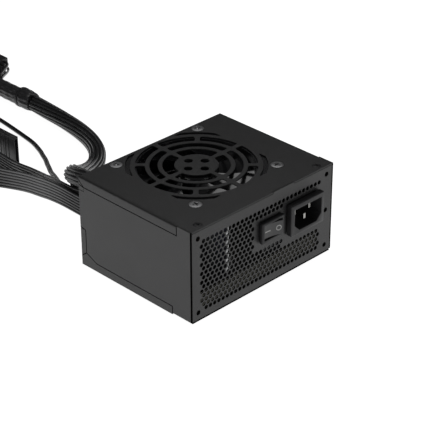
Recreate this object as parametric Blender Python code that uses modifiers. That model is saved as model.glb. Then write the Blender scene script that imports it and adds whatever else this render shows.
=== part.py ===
"""Compact computer power supply with a top fan, a mains inlet, a rocker switch and its output cables.

Lengths are written in millimetres and turned to Blender's metres by MM when an object is made.
+X runs along the inlet face, +Y towards the cables, +Z up. The origin is the centre of the underside.
"""
import math

import bmesh
import bpy
import numpy as np
from mathutils import Euler, Matrix, Vector

MM = 0.001

# Driving dimensions of the case
WIDTH, DEPTH, HEIGHT = 125.0, 100.0, 63.5
SHEET = 0.8
GAP = 0.3
FLOOR_GAP = 0.3
# Sheets that are joined stop this far short of each other's outer faces, so no two faces share a plane
HAIR = 0.02
# Points of a filled outline are staggered by this, because a row of them in one line leaves empty triangles
STAGGER = 0.004
HALF_X, HALF_Y = WIDTH / 2, DEPTH / 2
INNER_X = HALF_X - SHEET
INNER_TOP = HEIGHT - SHEET
FLANGE_FRONT_Y = -38.0
FLANGE_LOW_Z = 57.3
TRAY_FLANGE = (-33.3, 35.8, 5.7)

# Fan and grille
FAN_X, FAN_Y = 0.0, 9.0
FAN_SIDE, FAN_THICK = 79.6, 15.0
FAN_TOP = INNER_TOP - GAP
FAN_LOW = FAN_TOP - FAN_THICK
FAN_BORE = 37.8
FAN_HOLES = 71.5 / 2
GRILLE_WINDOW = 38.8
BLADES = 7
HUB_RADIUS = 14.2

# Inlet face
BOLT_X, BOLT_LOW, BOLT_MID, BOLT_HIGH = 56.5, 6.0, 31.75, 57.5
BOLT_RADIUS = 1.65
TAB = (8.0, 26.3)
VENT_TOP, VENT_PITCH, VENT_STEP, VENT_SIZE = 54.2, 3.63, 3.14, 2.5
SWITCH = (-4.75, 15.25, 32.5, 47.0)
SWITCH_AXIS = (5.25, -51.2)
SWITCH_MID_Z = 39.75
SWITCH_TURN = math.radians(10)
INLET = (19.7, 49.7, 28.4, 50.1)
INLET_HOLE = (22.7, 47.2, 31.2, 46.7)
PINS = {"live": (27.95, 40.95, -49.6), "neutral": (41.95, 40.95, -49.6), "earth": (34.95, 36.95, -51.8)}

# Circuit board
BOARD = (-58.0, 58.0, -45.0, 45.0)
BOARD_LOW, BOARD_THICK = 6.0, 1.6
BOARD_TOP = BOARD_LOW + BOARD_THICK
STANDOFFS = [(sx * 53.0, sy * 40.0) for sx in (-1, 1) for sy in (-1, 1)]
PART_LOW = BOARD_TOP + GAP

# Cables
EXIT_X = (-58.2, -42.2)
EXIT_LOW = 29.4
MAIN_DIAMETER = 12.4
RIBBON_WIDTH, RIBBON_THICK = 14.4, 2.0
TWIN_DIAMETER = 3.6
MAIN_ROUTE = [
    (-50.2, 49.0, 53.6), (-50.2, 56.0, 53.5), (-49.7, 64.5, 52.4), (-46.0, 74.4, 49.0), (-38.0, 84.4, 42.9),
    (-27.1, 95.2, 34.4), (-14.4, 107.2, 25.0), (-0.2, 119.2, 16.0), (13.7, 128.9, 9.8), (26.6, 137.8, 7.0),
    (37.8, 150.0, 6.5), (45.6, 165.2, 6.5), (50.7, 183.4, 6.5), (53.8, 205.0, 6.5), (55.0, 222.0, 6.6),
    (55.2, 240.0, 7.5),
]
COLLAR_Y = (241.0, 258.0)
SLEEVE_Y = (258.3, 284.0)
COLLAR_X, COLLAR_Z, COLLAR_RADIUS = 55.2, 8.0, 7.7
SLEEVE_Z, SLEEVE_RADIUS = 7.2, 6.6
PLUG = (38.2, 89.8, 316.0, 335.0, 0.3, 10.1)
DRIVE_ROUTE = [
    (-56.4, 49.0, 37.1), (-56.4, 57.0, 37.3), (-56.1, 66.0, 37.2), (-54.9, 75.5, 36.2), (-52.8, 86.0, 34.0),
    (-50.2, 97.5, 30.9), (-47.2, 110.0, 26.9), (-44.2, 123.0, 22.9), (-41.8, 136.5, 18.6),
    (-40.2, 150.0, 14.3), (-39.4, 163.0, 10.6), (-38.5, 176.0, 7.2), (-36.5, 189.0, 4.6),
    (-33.8, 202.0, 2.3), (-29.4, 215.0, 1.45), (-23.8, 228.0, 1.35), (-18.8, 241.0, 1.3),
    (-15.5, 253.5, 1.3), (-15.0, 266.0, 1.3),
]
# How far the drive ribbon has turned from standing on its edge to lying flat, in degrees, at each point above
DRIVE_TURN = [0, 0, 0, 0, 0, 0, 0, 0, 2, 6, 18, 46, 75, 88, 90, 90, 90, 90, 90]
# The disk ribbon stands on its edge all the way and comes back in a round loop to its plug
DISK_ROUTE = [
    (-53.6, 49.0, 39.9), (-53.6, 57.0, 39.9), (-53.5, 66.0, 38.7), (-50.6, 81.0, 35.8), (-45.0, 96.0, 30.8),
    (-38.6, 111.0, 24.4), (-33.6, 125.0, 19.8), (-29.8, 140.0, 16.0), (-27.4, 154.0, 12.8),
    (-24.7, 167.0, 10.0), (-23.6, 180.0, 9.8), (-23.6, 192.0, 10.2), (-23.6, 206.0, 10.3),
    (-23.6, 220.0, 10.2), (-26.1, 231.3, 10.0), (-33.2, 241.4, 10.0), (-41.0, 252.4, 9.8),
    (-43.4, 264.8, 9.4), (-40.4, 276.8, 9.0), (-32.4, 286.6, 8.2), (-20.8, 292.1, 7.8), (-8.0, 292.1, 7.8),
    (3.6, 286.8, 7.8), (11.6, 277.2, 7.8), (14.9, 265.0, 7.8), (12.9, 252.4, 7.8), (6.2, 242.0, 8.0),
    (-2.4, 232.4, 8.4), (-6.9, 220.4, 9.0), (-7.2, 205.8, 9.0),
]
TWIN_ROUTE = [
    (-48.6, 49.0, 38.0), (-48.6, 56.0, 38.0), (-48.5, 66.0, 37.6), (-47.0, 78.0, 36.4), (-43.6, 90.0, 34.1),
    (-38.0, 101.0, 31.0), (-31.4, 112.3, 27.2), (-23.6, 125.8, 22.4), (-16.2, 137.2, 18.8),
    (-9.6, 147.3, 15.4), (-2.4, 158.0, 12.0), (3.6, 168.2, 9.1), (9.2, 177.8, 6.7), (13.6, 186.6, 4.9),
    (17.4, 195.0, 3.4), (20.1, 203.5, 2.5), (22.6, 217.5, 2.1), (24.4, 231.0, 2.1), (25.8, 243.1, 2.1),
    (26.8, 257.0, 2.1), (27.0, 272.0, 2.3),
]
# Leads inside the case
INNER_WIRE = 2.0
LIVE_ROUTE = [
    (27.95, -25.7, 40.9), (27.5, -22.5, 40.0), (22.0, -21.0, 38.5), (13.0, -23.0, 39.0), (9.8, -27.0, 39.6),
    (9.5, -29.7, 39.7),
]
NEUTRAL_ROUTE = [
    (41.95, -25.7, 40.9), (42.6, -22.0, 39.0), (44.0, -19.5, 30.0), (44.0, -19.0, 18.0), (44.0, -19.0, 8.2),
]
HARNESS_ROUTE = [
    (-50.2, 48.0, 40.0), (-50.2, 44.0, 39.5), (-49.6, 38.0, 34.0), (-48.0, 33.5, 25.0), (-46.8, 31.4, 14.0),
    (-46.5, 31.0, 8.2),
]

# Sides of a round shape, unless it says otherwise
ROUND = 32


# ---------------------------------------------------------------- scene and materials
def empty_scene():
    for item in list(bpy.data.objects):
        bpy.data.objects.remove(item, do_unlink=True)


def collection(name):
    made = bpy.data.collections.new(name)
    bpy.context.scene.collection.children.link(made)
    return made


def finish(name, colour, roughness=0.5, metallic=0.0):
    made = bpy.data.materials.new(name)
    made.use_nodes = True
    shader = made.node_tree.nodes["Principled BSDF"]
    shader.inputs["Base Color"].default_value = (*colour, 1.0)
    shader.inputs["Roughness"].default_value = roughness
    shader.inputs["Metallic"].default_value = metallic
    made.diffuse_color = (*colour, 1.0)
    return made


empty_scene()
PARTS = collection("power_supply")
CUTTERS = collection("cutters")

CASE_PAINT = finish("case_paint", (0.07, 0.07, 0.072), 0.55)
FAN_PLASTIC = finish("fan_plastic", (0.03, 0.03, 0.032), 0.3)
BLACK_PLASTIC = finish("black_plastic", (0.02, 0.02, 0.021), 0.4)
DARK_RUBBER = finish("dark_rubber", (0.025, 0.025, 0.026), 0.75)
WIRE_SKIN = finish("wire_skin", (0.022, 0.022, 0.023), 0.45)
ZINC = finish("zinc", (0.62, 0.62, 0.63), 0.3, 1.0)
BLACK_SCREW = finish("black_screw", (0.02, 0.02, 0.02), 0.35, 0.6)
PIN_METAL = finish("pin_metal", (0.75, 0.74, 0.7), 0.22, 1.0)
BOARD_GREEN = finish("board_resin", (0.18, 0.14, 0.06), 0.5)
PAPER = finish("insulating_paper", (0.5, 0.42, 0.27), 0.8)
ALUMINIUM = finish("aluminium", (0.75, 0.76, 0.77), 0.35, 1.0)
FERRITE = finish("ferrite", (0.05, 0.05, 0.055), 0.6)
TAPE = finish("winding_tape", (0.7, 0.5, 0.06), 0.45)
COPPER = finish("copper_winding", (0.6, 0.26, 0.1), 0.35, 1.0)
FILM_CAP = finish("film_capacitor", (0.62, 0.5, 0.12), 0.4)
CAN_SLEEVE = finish("capacitor_sleeve", (0.03, 0.03, 0.05), 0.35)
EPOXY = finish("epoxy", (0.03, 0.03, 0.03), 0.5)
LIVE_SKIN = finish("brown_wire", (0.16, 0.07, 0.03), 0.45)
NEUTRAL_SKIN = finish("blue_wire", (0.03, 0.08, 0.3), 0.45)


# ---------------------------------------------------------------- helpers
def metres(values):
    return [value * MM for value in values]


def place_object(name, data, material):
    """Put data into the scene as a named object: a part when it has a material, otherwise a cutter."""
    made = bpy.data.objects.new(name, data)
    (PARTS if material else CUTTERS).objects.link(made)
    if not material:
        made.hide_render = True
        made.display_type = "WIRE"
    return made


def add(name, mesh, material):
    """A mesh as a named object with its material."""
    mesh.materials.clear()
    if material:
        mesh.materials.append(material)
    return place_object(name, mesh, material)


def mesh_from(name, shape, smooth):
    """A mesh datablock from a finished bmesh."""
    bmesh.ops.recalc_face_normals(shape, faces=shape.faces)
    mesh = bpy.data.meshes.new(name)
    shape.to_mesh(mesh)
    shape.free()
    if smooth:
        mesh.shade_smooth()
        mesh.set_sharp_from_angle(angle=math.radians(35))
    return mesh


def block(name, material, low, high, bevel=0.0):
    """A box from its low and high corners, with its edges rounded by bevel."""
    low, high = Vector(metres(low)), Vector(metres(high))
    shape = bmesh.new()
    place = Matrix.Translation((low + high) / 2) @ Matrix.Diagonal((*(high - low), 1.0))
    bmesh.ops.create_cube(shape, size=1.0, matrix=place)
    if bevel:
        bmesh.ops.bevel(shape, geom=shape.edges[:], offset=bevel * MM, segments=2, affect="EDGES",
                        profile=0.5)
    return add(name, mesh_from(name, shape, False), material)


def rod(name, material, start, end, radius, tip=None, sides=ROUND):
    """A cylinder, or a cone when tip is another radius, between two points."""
    start, end = Vector(metres(start)), Vector(metres(end))
    along = end - start
    shape = bmesh.new()
    turn = along.to_track_quat("Z", "Y").to_matrix().to_4x4()
    bmesh.ops.create_cone(
        shape, cap_ends=True, segments=sides, radius1=radius * MM, depth=along.length,
        radius2=(radius if tip is None else tip) * MM, matrix=Matrix.Translation((start + end) / 2) @ turn,
    )
    return add(name, mesh_from(name, shape, True), material)


def turned(name, material, profile, centre, sides=ROUND):
    """A profile of (radius, z), down its outer side, turned about a vertical axis through centre."""
    mesh = bpy.data.meshes.new(name)
    points = [(radius * MM, 0.0, z * MM) for radius, z in profile]
    closed = profile[0][0] > 0
    count = len(points)
    edges = [(i, (i + 1) % count) for i in range(count if closed else count - 1)]
    mesh.from_pydata(points, edges, [])
    made = add(name, mesh, material)
    screw = made.modifiers.new("turn", "SCREW")
    screw.steps = screw.render_steps = sides
    screw.use_merge_vertices = True
    screw.merge_threshold = 0.00001
    made.location = metres(centre)
    return as_mesh(made, material)


def as_mesh(item, material, flat=False):
    """The evaluated object as a welded mesh object in the same place, with faces outwards.

    A filled outline is flat: its caps are dissolved to large faces, because the fill leaves thin slivers.
    """
    bpy.context.view_layer.update()
    graph = bpy.context.evaluated_depsgraph_get()
    mesh = bpy.data.meshes.new_from_object(item.evaluated_get(graph))
    shape = bmesh.new()
    shape.from_mesh(mesh)
    bmesh.ops.remove_doubles(shape, verts=shape.verts, dist=0.000001)
    if flat:
        bmesh.ops.dissolve_limit(shape, angle_limit=0.001, verts=shape.verts, edges=shape.edges)
    bmesh.ops.recalc_face_normals(shape, faces=shape.faces)
    shape.to_mesh(mesh)
    shape.free()
    name, place = item.name, item.matrix_world.copy()
    bpy.data.objects.remove(item, do_unlink=True)
    mesh.transform(place)
    mesh.shade_smooth()
    mesh.set_sharp_from_angle(angle=math.radians(35))
    return add(name, mesh, material)


TURNS = {"XY": (0, 0, 0), "XZ": (math.pi / 2, 0, 0), "YZ": (math.pi / 2, 0, math.pi / 2)}


def plate(name, material, plane, outline, holes, start, end):
    """A flat outline with holes in a plane, given its thickness from start to end across that plane."""
    curve = bpy.data.curves.new(name, "CURVE")
    curve.dimensions = "2D"
    curve.fill_mode = "BOTH"
    curve.extrude = abs(end - start) / 2 * MM
    count = 0
    for ring in [outline, *holes]:
        spline = curve.splines.new("POLY")
        spline.points.add(len(ring) - 1)
        spline.use_cyclic_u = True
        for point, (u, v) in zip(spline.points, ring):
            u += STAGGER * math.sin(7.0 * count)
            v += STAGGER * math.cos(5.0 * count)
            point.co = (*metres((u, v, 0.0)), 1.0)
            count += 1
    made = place_object(name, curve, material)
    middle = (start + end) / 2 * MM
    made.rotation_euler = Euler(TURNS[plane])
    made.location = {"XY": (0, 0, middle), "XZ": (0, middle, 0), "YZ": (middle, 0, 0)}[plane]
    return as_mesh(made, material, flat=True)


def boolean(target, other, operation):
    """Cut other from target, or join it to target, and keep the result as a plain mesh."""
    step = target.modifiers.new(operation.lower(), "BOOLEAN")
    step.operation = operation
    step.object = other
    material = target.data.materials[0]
    made = as_mesh(target, material)
    bpy.data.objects.remove(other, do_unlink=True)
    return made


def cut(target, *cutters):
    for cutter in cutters:
        target = boolean(target, cutter, "DIFFERENCE")
    return target


def join(target, *others):
    for other in others:
        target = boolean(target, other, "UNION")
    return target


def rectangle(x0, x1, z0, z1):
    return [(x0, z0), (x1, z0), (x1, z1), (x0, z1)]


def circle(x, y, radius, sides=20):
    turns = [2 * math.pi * i / sides for i in range(sides)]
    return [(x + radius * math.cos(a), y + radius * math.sin(a)) for a in turns]


def smooth_route(points, spacing):
    """Points a spacing apart along a Catmull-Rom curve through the given points."""
    given = np.array(points, float)
    padded = np.vstack([2 * given[0] - given[1], given, 2 * given[-1] - given[-2]])
    share = np.linspace(0, 1, 25)[:-1, None]
    runs = []
    for a, b, c, d in zip(padded, padded[1:], padded[2:], padded[3:]):
        runs.append(0.5 * (2 * b + (c - a) * share + (2 * a - 5 * b + 4 * c - d) * share**2
                           + (3 * b - a - 3 * c + d) * share**3))
    fine = np.vstack([*runs, given[-1:]])
    length = np.concatenate([[0], np.cumsum(np.linalg.norm(np.diff(fine, axis=0), axis=1))])
    wanted = np.linspace(0, length[-1], max(2, int(round(length[-1] / spacing)) + 1))
    return np.column_stack([np.interp(wanted, length, fine[:, axis]) for axis in range(3)])


def tube(name, material, points, diameter, spacing, resolution=2):
    """A round cord along a smooth route through the given points."""
    route = smooth_route(points, spacing)
    curve = bpy.data.curves.new(name, "CURVE")
    curve.dimensions = "3D"
    curve.bevel_depth = diameter / 2 * MM
    curve.bevel_resolution = resolution
    curve.use_fill_caps = True
    spline = curve.splines.new("POLY")
    spline.points.add(len(route) - 1)
    for point, place in zip(spline.points, route):
        point.co = (*metres(place), 1.0)
    return as_mesh(place_object(name, curve, material), material)


def band(name, material, points, turns, spacing):
    """A flat ribbon along a smooth route, standing on its edge and laid flat by turns, in degrees."""
    route = smooth_route(points, spacing)
    share = np.linspace(0, len(points) - 1, len(route))
    angle = np.radians(np.interp(share, np.arange(len(points)), turns))
    ahead = np.gradient(route, axis=0)
    ahead /= np.linalg.norm(ahead, axis=1)[:, None]
    side = np.cross(ahead, (0, 0, 1))
    side /= np.linalg.norm(side, axis=1)[:, None]
    rise = np.cross(side, ahead)
    wide = (np.cos(angle)[:, None] * rise + np.sin(angle)[:, None] * side) * RIBBON_WIDTH / 2
    thick = np.cross(ahead, wide)
    thick *= RIBBON_THICK / 2 / np.linalg.norm(thick, axis=1)[:, None]
    shape = bmesh.new()
    rings = []
    for place, w, t in zip(route, wide, thick):
        corners = [place + w + t, place - w + t, place - w - t, place + w - t]
        rings.append([shape.verts.new(metres(corner)) for corner in corners])
    for near, far in zip(rings, rings[1:]):
        for i in range(4):
            j = (i + 1) % 4
            shape.faces.new((near[i], near[j], far[j], far[i]))
    shape.faces.new(rings[0])
    shape.faces.new(list(reversed(rings[-1])))
    return add(name, mesh_from(name, shape, False), material)


# ---------------------------------------------------------------- the case
def bottom_tray():
    """Floor and cable wall of the case in one folded sheet, with flanges, corner tabs and bosses."""
    flange_front, flange_back, flange_top = TRAY_FLANGE
    floor_outline = [
        (-INNER_X + GAP, -HALF_Y), (INNER_X - GAP, -HALF_Y), (INNER_X - GAP, flange_front),
        (HALF_X, flange_front), (HALF_X, HALF_Y), (-HALF_X, HALF_Y), (-HALF_X, flange_front),
        (-INNER_X + GAP, flange_front),
    ]
    tray = plate("bottom_tray", CASE_PAINT, "XY", floor_outline, [], 0, SHEET)
    edge, end, top = INNER_X - GAP, HALF_X - 2 * HAIR, INNER_TOP - GAP
    notch_left, notch_right, notch_low = EXIT_X[0] - 1.5, EXIT_X[1] + 1.5, EXIT_LOW - 1.5
    wall = [
        (-end, 0.2), (end, 0.2), (end, 26.6), (edge, 26.6), (edge, 54.4), (end, 54.4), (end, 60.0),
        (edge, 60.0), (edge, top), (notch_right, top), (notch_right, notch_low), (notch_left, notch_low),
        (notch_left, top), (-edge, top), (-edge, 60.0), (-end, 60.0), (-end, 54.4), (-edge, 54.4),
        (-edge, 26.6), (-end, 26.6),
    ]
    tray = join(tray, plate("wall", CASE_PAINT, "XZ", wall, [], HALF_Y - SHEET, HALF_Y - HAIR))
    side_outline = [
        (flange_front + HAIR, 0.1), (HALF_Y - 0.1, 0.1), (HALF_Y - 0.1, 26.6 - HAIR), (45.3, 26.6 - HAIR),
        (45.3, 9.8), (flange_back, flange_top), (flange_front + HAIR, flange_top),
    ]
    upper_tab = [(45.5, 54.4 + HAIR), (HALF_Y - 0.1, 54.4 + HAIR), (HALF_Y - 0.1, 60.7), (45.5, 57.0)]
    for side in (-1, 1):
        inner, outer = side * INNER_X, side * (HALF_X - HAIR)
        tray = join(tray, plate("side_flange", CASE_PAINT, "YZ", side_outline, [], inner, outer))
        tray = join(tray, plate("corner_tab", CASE_PAINT, "YZ", upper_tab, [], inner, outer))
    for x, y in STANDOFFS:
        tray = join(tray, rod("boss", CASE_PAINT, (x, y, 0.4), (x, y, BOARD_LOW - GAP), 2.6, sides=16))
        tray = cut(tray, rod("thread", None, (x, y, 1.6), (x, y, BOARD_LOW + 1), 1.6, sides=12))
    return tray


def side_panel(name, side):
    """Flat side wall with notches for the cover's flange, the tray's flange and the corner tabs."""
    flange_front, flange_back, flange_top = TRAY_FLANGE
    outline = [
        (-HALF_Y, SHEET + GAP), (flange_front - GAP, SHEET + GAP), (flange_front - GAP, flange_top + GAP),
        (flange_back - GAP, flange_top + GAP), (45.3 - GAP, 9.8 + GAP), (45.3 - GAP, 26.6 + GAP),
        (HALF_Y, 26.6 + GAP), (HALF_Y, 54.4 - GAP), (45.5 - GAP, 54.4 - GAP),
        (45.5 - GAP, FLANGE_LOW_Z - GAP), (FLANGE_FRONT_Y - GAP, FLANGE_LOW_Z - GAP),
        (FLANGE_FRONT_Y - GAP, HEIGHT), (-HALF_Y, HEIGHT),
    ]
    return plate(name, CASE_PAINT, "YZ", outline, [], side * INNER_X, side * HALF_X)


def vent_slots():
    """A cutter with the rows of the vent field, two slots a row, that leave room for the switch and inlet."""
    shape = bmesh.new()
    for row in range(16):
        z = VENT_TOP - row * VENT_STEP
        start = -51.9 if row % 2 == 0 else -53.6
        if row == 0:
            spans = [(start, 49.7)]
        elif row in (1, 9, 10):
            spans = [(start, 15.4)]
        elif row < 9:
            spans = [(start, -10.6)]
        else:
            spans = [(start if row < 15 else start + VENT_PITCH, 49.7)]
        for left, right in spans:
            middle = (left + right) / 2
            for a, b in ((left - VENT_SIZE / 2, middle - 0.6), (middle + 0.6, right + VENT_SIZE / 2)):
                size = Matrix.Diagonal(((b - a) * MM, 3 * MM, (VENT_SIZE - 0.1) * MM, 1.0))
                place = Matrix.Translation(metres(((a + b) / 2, -HALF_Y, z)))
                bmesh.ops.create_cube(shape, size=1.0, matrix=place @ size)
    return add("vent_slots", mesh_from("vent_slots", shape, False), None)


def front_panel():
    """Inlet face with bolt holes, the switch and inlet cut-outs, vents and two feet for the cover screws."""
    edge, low, high = INNER_X - GAP, SHEET + GAP, INNER_TOP - GAP
    outline = [(-edge, low), (edge, low), (edge, high), (TAB[1], high), (TAB[1], HEIGHT),
               (TAB[0], HEIGHT), (TAB[0], high), (-edge, high)]
    bolts = [(x, z) for x in (-BOLT_X, BOLT_X) for z in (BOLT_LOW, BOLT_HIGH)] + [(BOLT_X, BOLT_MID)]
    holes = [circle(x, z, BOLT_RADIUS, 16) for x, z in bolts]
    x0, x1, z0, z1 = SWITCH
    holes.append(rectangle(x0 + 1.2, x1 - 1.2, z0 + 1.2, z1 - 1.2))
    x0, x1, z0, z1 = INLET
    holes.append(rectangle(x0 + 1.0, x1 - 1.0, z0 + 1.0, z1 - 1.0))
    panel = plate("front_panel", CASE_PAINT, "XZ", outline, holes, -HALF_Y, -HALF_Y + SHEET)
    for x in (-52.0, 52.0):
        foot = rectangle(x - 5, x + 5, -HALF_Y + 0.3, -42.5)
        hole = circle(x, -45.4, 1.75, 16)
        tab = plate("foot", CASE_PAINT, "XY", foot, [hole], high - HAIR - SHEET, high - HAIR)
        panel = join(panel, tab)
    return cut(panel, vent_slots())


def ring_slot(inner, outer, middle, spread):
    """One slot of the fan grille between two radii, clipped to the square window."""
    def arc(radius, angles):
        return [(radius * math.cos(a), radius * math.sin(a)) for a in angles]

    steps = max(4, int(spread / math.radians(5)))
    angles = [middle - spread / 2 + spread * i / steps for i in range(steps + 1)]
    ring = arc(outer, angles) + arc(inner, reversed(angles))
    limit = GRILLE_WINDOW
    return [(FAN_X + max(-limit, min(limit, x)), FAN_Y + max(-limit, min(limit, y))) for x, y in ring]


def grille_slots():
    """All openings over the fan: three rings, four corner arcs and four holes in the middle disc."""
    web = 3.3
    slots = []
    for inner, outer, count in ((14.0, 21.5, 4), (24.5, 29.6, 4), (32.5, 38.8, 8)):
        mean = (inner + outer) / 2
        for i in range(count):
            middle = math.pi / count + 2 * math.pi * i / count
            slots.append(ring_slot(inner, outer, middle, 2 * math.pi / count - web / mean))
    for i in range(4):
        slots.append(ring_slot(41.9, 45.0, math.pi / 4 + math.pi / 2 * i, math.radians(42)))
    for i in range(4):
        turn = math.pi / 2 * i
        slots.append(circle(FAN_X + 7.35 * math.cos(turn), FAN_Y + 7.35 * math.sin(turn), 2.8, 16))
    return slots


def top_cover():
    """Cover plate with the fan grille, countersunk holes and a flange down each side."""
    edge = INNER_X - GAP
    low_y, notch = -HALF_Y, -HALF_Y + SHEET + GAP
    outline = [
        (-edge, low_y), (TAB[0] - GAP, low_y), (TAB[0] - GAP, notch), (TAB[1] + GAP, notch),
        (TAB[1] + GAP, low_y), (edge, low_y), (edge, FLANGE_FRONT_Y), (HALF_X, FLANGE_FRONT_Y),
        (HALF_X, HALF_Y), (-HALF_X, HALF_Y), (-HALF_X, FLANGE_FRONT_Y), (-edge, FLANGE_FRONT_Y),
    ]
    cover = plate("top_cover", CASE_PAINT, "XY", outline, grille_slots(), INNER_TOP, HEIGHT)
    start = FLANGE_FRONT_Y + HAIR
    flange = [(start, FLANGE_LOW_Z), (45.5, FLANGE_LOW_Z), (HALF_Y - 0.1, 61.0), (HALF_Y - 0.1, HEIGHT - 0.2),
              (start, HEIGHT - 0.2)]
    for side in (-1, 1):
        inner, outer = side * INNER_X, side * (HALF_X - HAIR)
        cover = join(cover, plate("cover_flange", CASE_PAINT, "YZ", flange, [], inner, outer))
    for x, y in fan_screw_places():
        cover = cut(cover, sink(x, y, 4.5, 2.2))
    for x in (-52.0, 52.0):
        cover = cut(cover, sink(x, -45.4, 2.9, 1.8))
    return cover


def sink(x, y, wide, narrow):
    """A cutter for a countersunk hole through the cover."""
    return rod("countersink", None, (x, y, INNER_TOP - 0.2), (x, y, HEIGHT + 0.2), narrow, wide, 24)


def fan_screw_places():
    return [(FAN_X + sx * FAN_HOLES, FAN_Y + sy * FAN_HOLES) for sx in (-1, 1) for sy in (-1, 1)]


def countersunk_screw(name, material, x, y, head, shank, tip_z):
    """A screw whose conical head lies flush in the cover, with a slightly domed top."""
    profile = [(0, HEIGHT + 0.35), (head * 0.6, HEIGHT + 0.25), (head, HEIGHT), (shank, INNER_TOP + 0.1),
               (shank, tip_z + 1.0), (shank * 0.5, tip_z), (0, tip_z)]
    return turned(name, material, profile, (x, y, 0), 20)


# ---------------------------------------------------------------- the fan
def fan_frame():
    """Square fan housing with a round bore, screw holes, four struts and the bearing tube."""
    half = FAN_SIDE / 2
    corner = 4.0
    outline = []
    for sx, sy, start in ((1, 1, 0), (-1, 1, 90), (-1, -1, 180), (1, -1, 270)):
        for step in range(4):
            a = math.radians(start + 30 * step)
            outline.append((FAN_X + sx * (half - corner) + corner * math.cos(a),
                            FAN_Y + sy * (half - corner) + corner * math.sin(a)))
    holes = [circle(FAN_X, FAN_Y, FAN_BORE, 48)]
    holes += [circle(x, y, 2.15, 12) for x, y in fan_screw_places()]
    frame = plate("fan_frame", FAN_PLASTIC, "XY", outline, holes, FAN_LOW, FAN_TOP)
    spider = [rod("hub_plate", FAN_PLASTIC, (FAN_X, FAN_Y, FAN_LOW), (FAN_X, FAN_Y, FAN_LOW + 2), 15)]
    for i in range(4):
        a = math.pi / 4 + math.pi / 2 * i
        c, s = math.cos(a), math.sin(a)
        strut = [(FAN_X + r * c - w * s, FAN_Y + r * s + w * c)
                 for r, w in ((13, -1.6), (39, -1.6), (39, 1.6), (13, 1.6))]
        spider.append(plate("strut", FAN_PLASTIC, "XY", strut, [], FAN_LOW + 0.1, FAN_LOW + 1.9))
    foot, top = (FAN_X, FAN_Y, FAN_LOW + 1), (FAN_X, FAN_Y, 58.6)
    spider.append(rod("bearing_tube", FAN_PLASTIC, foot, top, 4.0, sides=20))
    frame = join(frame, *spider)
    return cut(frame, rod("bearing_bore", None, (FAN_X, FAN_Y, 49.6), (FAN_X, FAN_Y, 59.5), 2.9, sides=20))


def blade(turn):
    """One swept fan blade: a grid in radius and chord, bent to its pitch and given a thickness."""
    rows, columns = 5, 4
    shape = bmesh.new()
    bmesh.ops.create_grid(shape, x_segments=rows, y_segments=columns, size=0.5)
    for vert in shape.verts:
        out, chord = vert.co.x + 0.5, vert.co.y + 0.5
        radius = 13.6 + out * (36.6 - 13.6)
        angle = turn + math.radians(18 * out + chord * (38 + 6 * out))
        rise = 51.2 + (9.2 - 1.6 * out) * chord + 0.9 * math.sin(math.pi * chord)
        vert.co = metres((FAN_X + radius * math.cos(angle), FAN_Y + radius * math.sin(angle), rise))
    mesh = bpy.data.meshes.new("blade")
    shape.to_mesh(mesh)
    shape.free()
    made = add("blade", mesh, FAN_PLASTIC)
    thick = made.modifiers.new("thickness", "SOLIDIFY")
    thick.thickness = 1.2 * MM
    thick.offset = 0
    return as_mesh(made, FAN_PLASTIC)


def fan_rotor():
    """Hub cup with its blades; the cup is open below for the motor."""
    profile = [(0, 61.4), (12.6, 61.4), (HUB_RADIUS, 60.4), (HUB_RADIUS, 50.4), (13.2, 50.4), (13.2, 59.8),
               (0, 59.8)]
    rotor = turned("fan_rotor", FAN_PLASTIC, profile, (FAN_X, FAN_Y, 0), 40)
    for i in range(BLADES):
        rotor = join(rotor, blade(2 * math.pi * i / BLADES))
    return move_origin(rotor, (FAN_X, FAN_Y, 55.0))


def move_origin(item, place):
    """Put an object's origin at a point without moving its surface."""
    place = Vector(metres(place))
    item.data.transform(Matrix.Translation(-place))
    item.location = place
    return item


def fan_motor():
    """Magnet ring, shaft, bearing and stator inside the hub."""
    turned("fan_magnet", FERRITE, [(12.9, 59.4), (12.9, 51.0), (11.3, 51.0), (11.3, 59.4)], (FAN_X, FAN_Y, 0))
    rod("fan_shaft", ZINC, (FAN_X, FAN_Y, 50.2), (FAN_X, FAN_Y, 59.5), 0.8, sides=16)
    turned("fan_bearing", ZINC, [(2.6, 57.8), (2.6, 50.2), (1.1, 50.2), (1.1, 57.8)], (FAN_X, FAN_Y, 0), 20)
    poles = []
    for i in range(4):
        base = math.pi / 2 * i
        arc = [base + math.radians(a) for a in (-36, -18, 0, 18, 36)]
        poles += [(4.3 + 3.0, base - 0.2), *[(10.8, a) for a in arc], (4.3 + 3.0, base + 0.2)]
    outline = [(FAN_X + r * math.cos(a), FAN_Y + r * math.sin(a)) for r, a in poles]
    plate("fan_stator", COPPER, "XY", outline, [circle(FAN_X, FAN_Y, 4.3)], 50.6, 58.2)


# ---------------------------------------------------------------- inlet and switch
def inlet():
    """Mains inlet: a flanged housing with a chamfered socket and three flat pins."""
    x0, x1, z0, z1 = INLET
    flange = block("inlet_housing", BLACK_PLASTIC, (x0, -54.8, z0), (x1, -HALF_Y - GAP, z1), 0.6)
    body = block("body", BLACK_PLASTIC, (x0 + 1.3, -51.5, z0 + 1.3), (x1 - 1.3, -33.0, z1 - 1.3))
    hx0, hx1, hz0, hz1 = INLET_HOLE
    chamfer = 4.4
    mouth = [(hx0 + chamfer, hz0), (hx1 - chamfer, hz0), (hx1, hz0 + chamfer), (hx1, hz1), (hx0, hz1),
             (hx0, hz0 + chamfer)]
    cavity = plate("mouth", None, "XZ", mouth, [], -56, -36)
    slots = [pin_block("slot", None, place, GAP, -37, -32) for place in PINS.values()]
    cut(join(flange, body), cavity, *slots)
    for name, place in PINS.items():
        pin_block(name + "_pin", PIN_METAL, place, 0.0, place[2], -26)


def pin_block(name, material, place, grow, start, end):
    x, z, _ = place
    return block(name, material, (x - 1 - grow, start, z - 2 - grow), (x + 1 + grow, end, z + 2 + grow))


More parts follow.
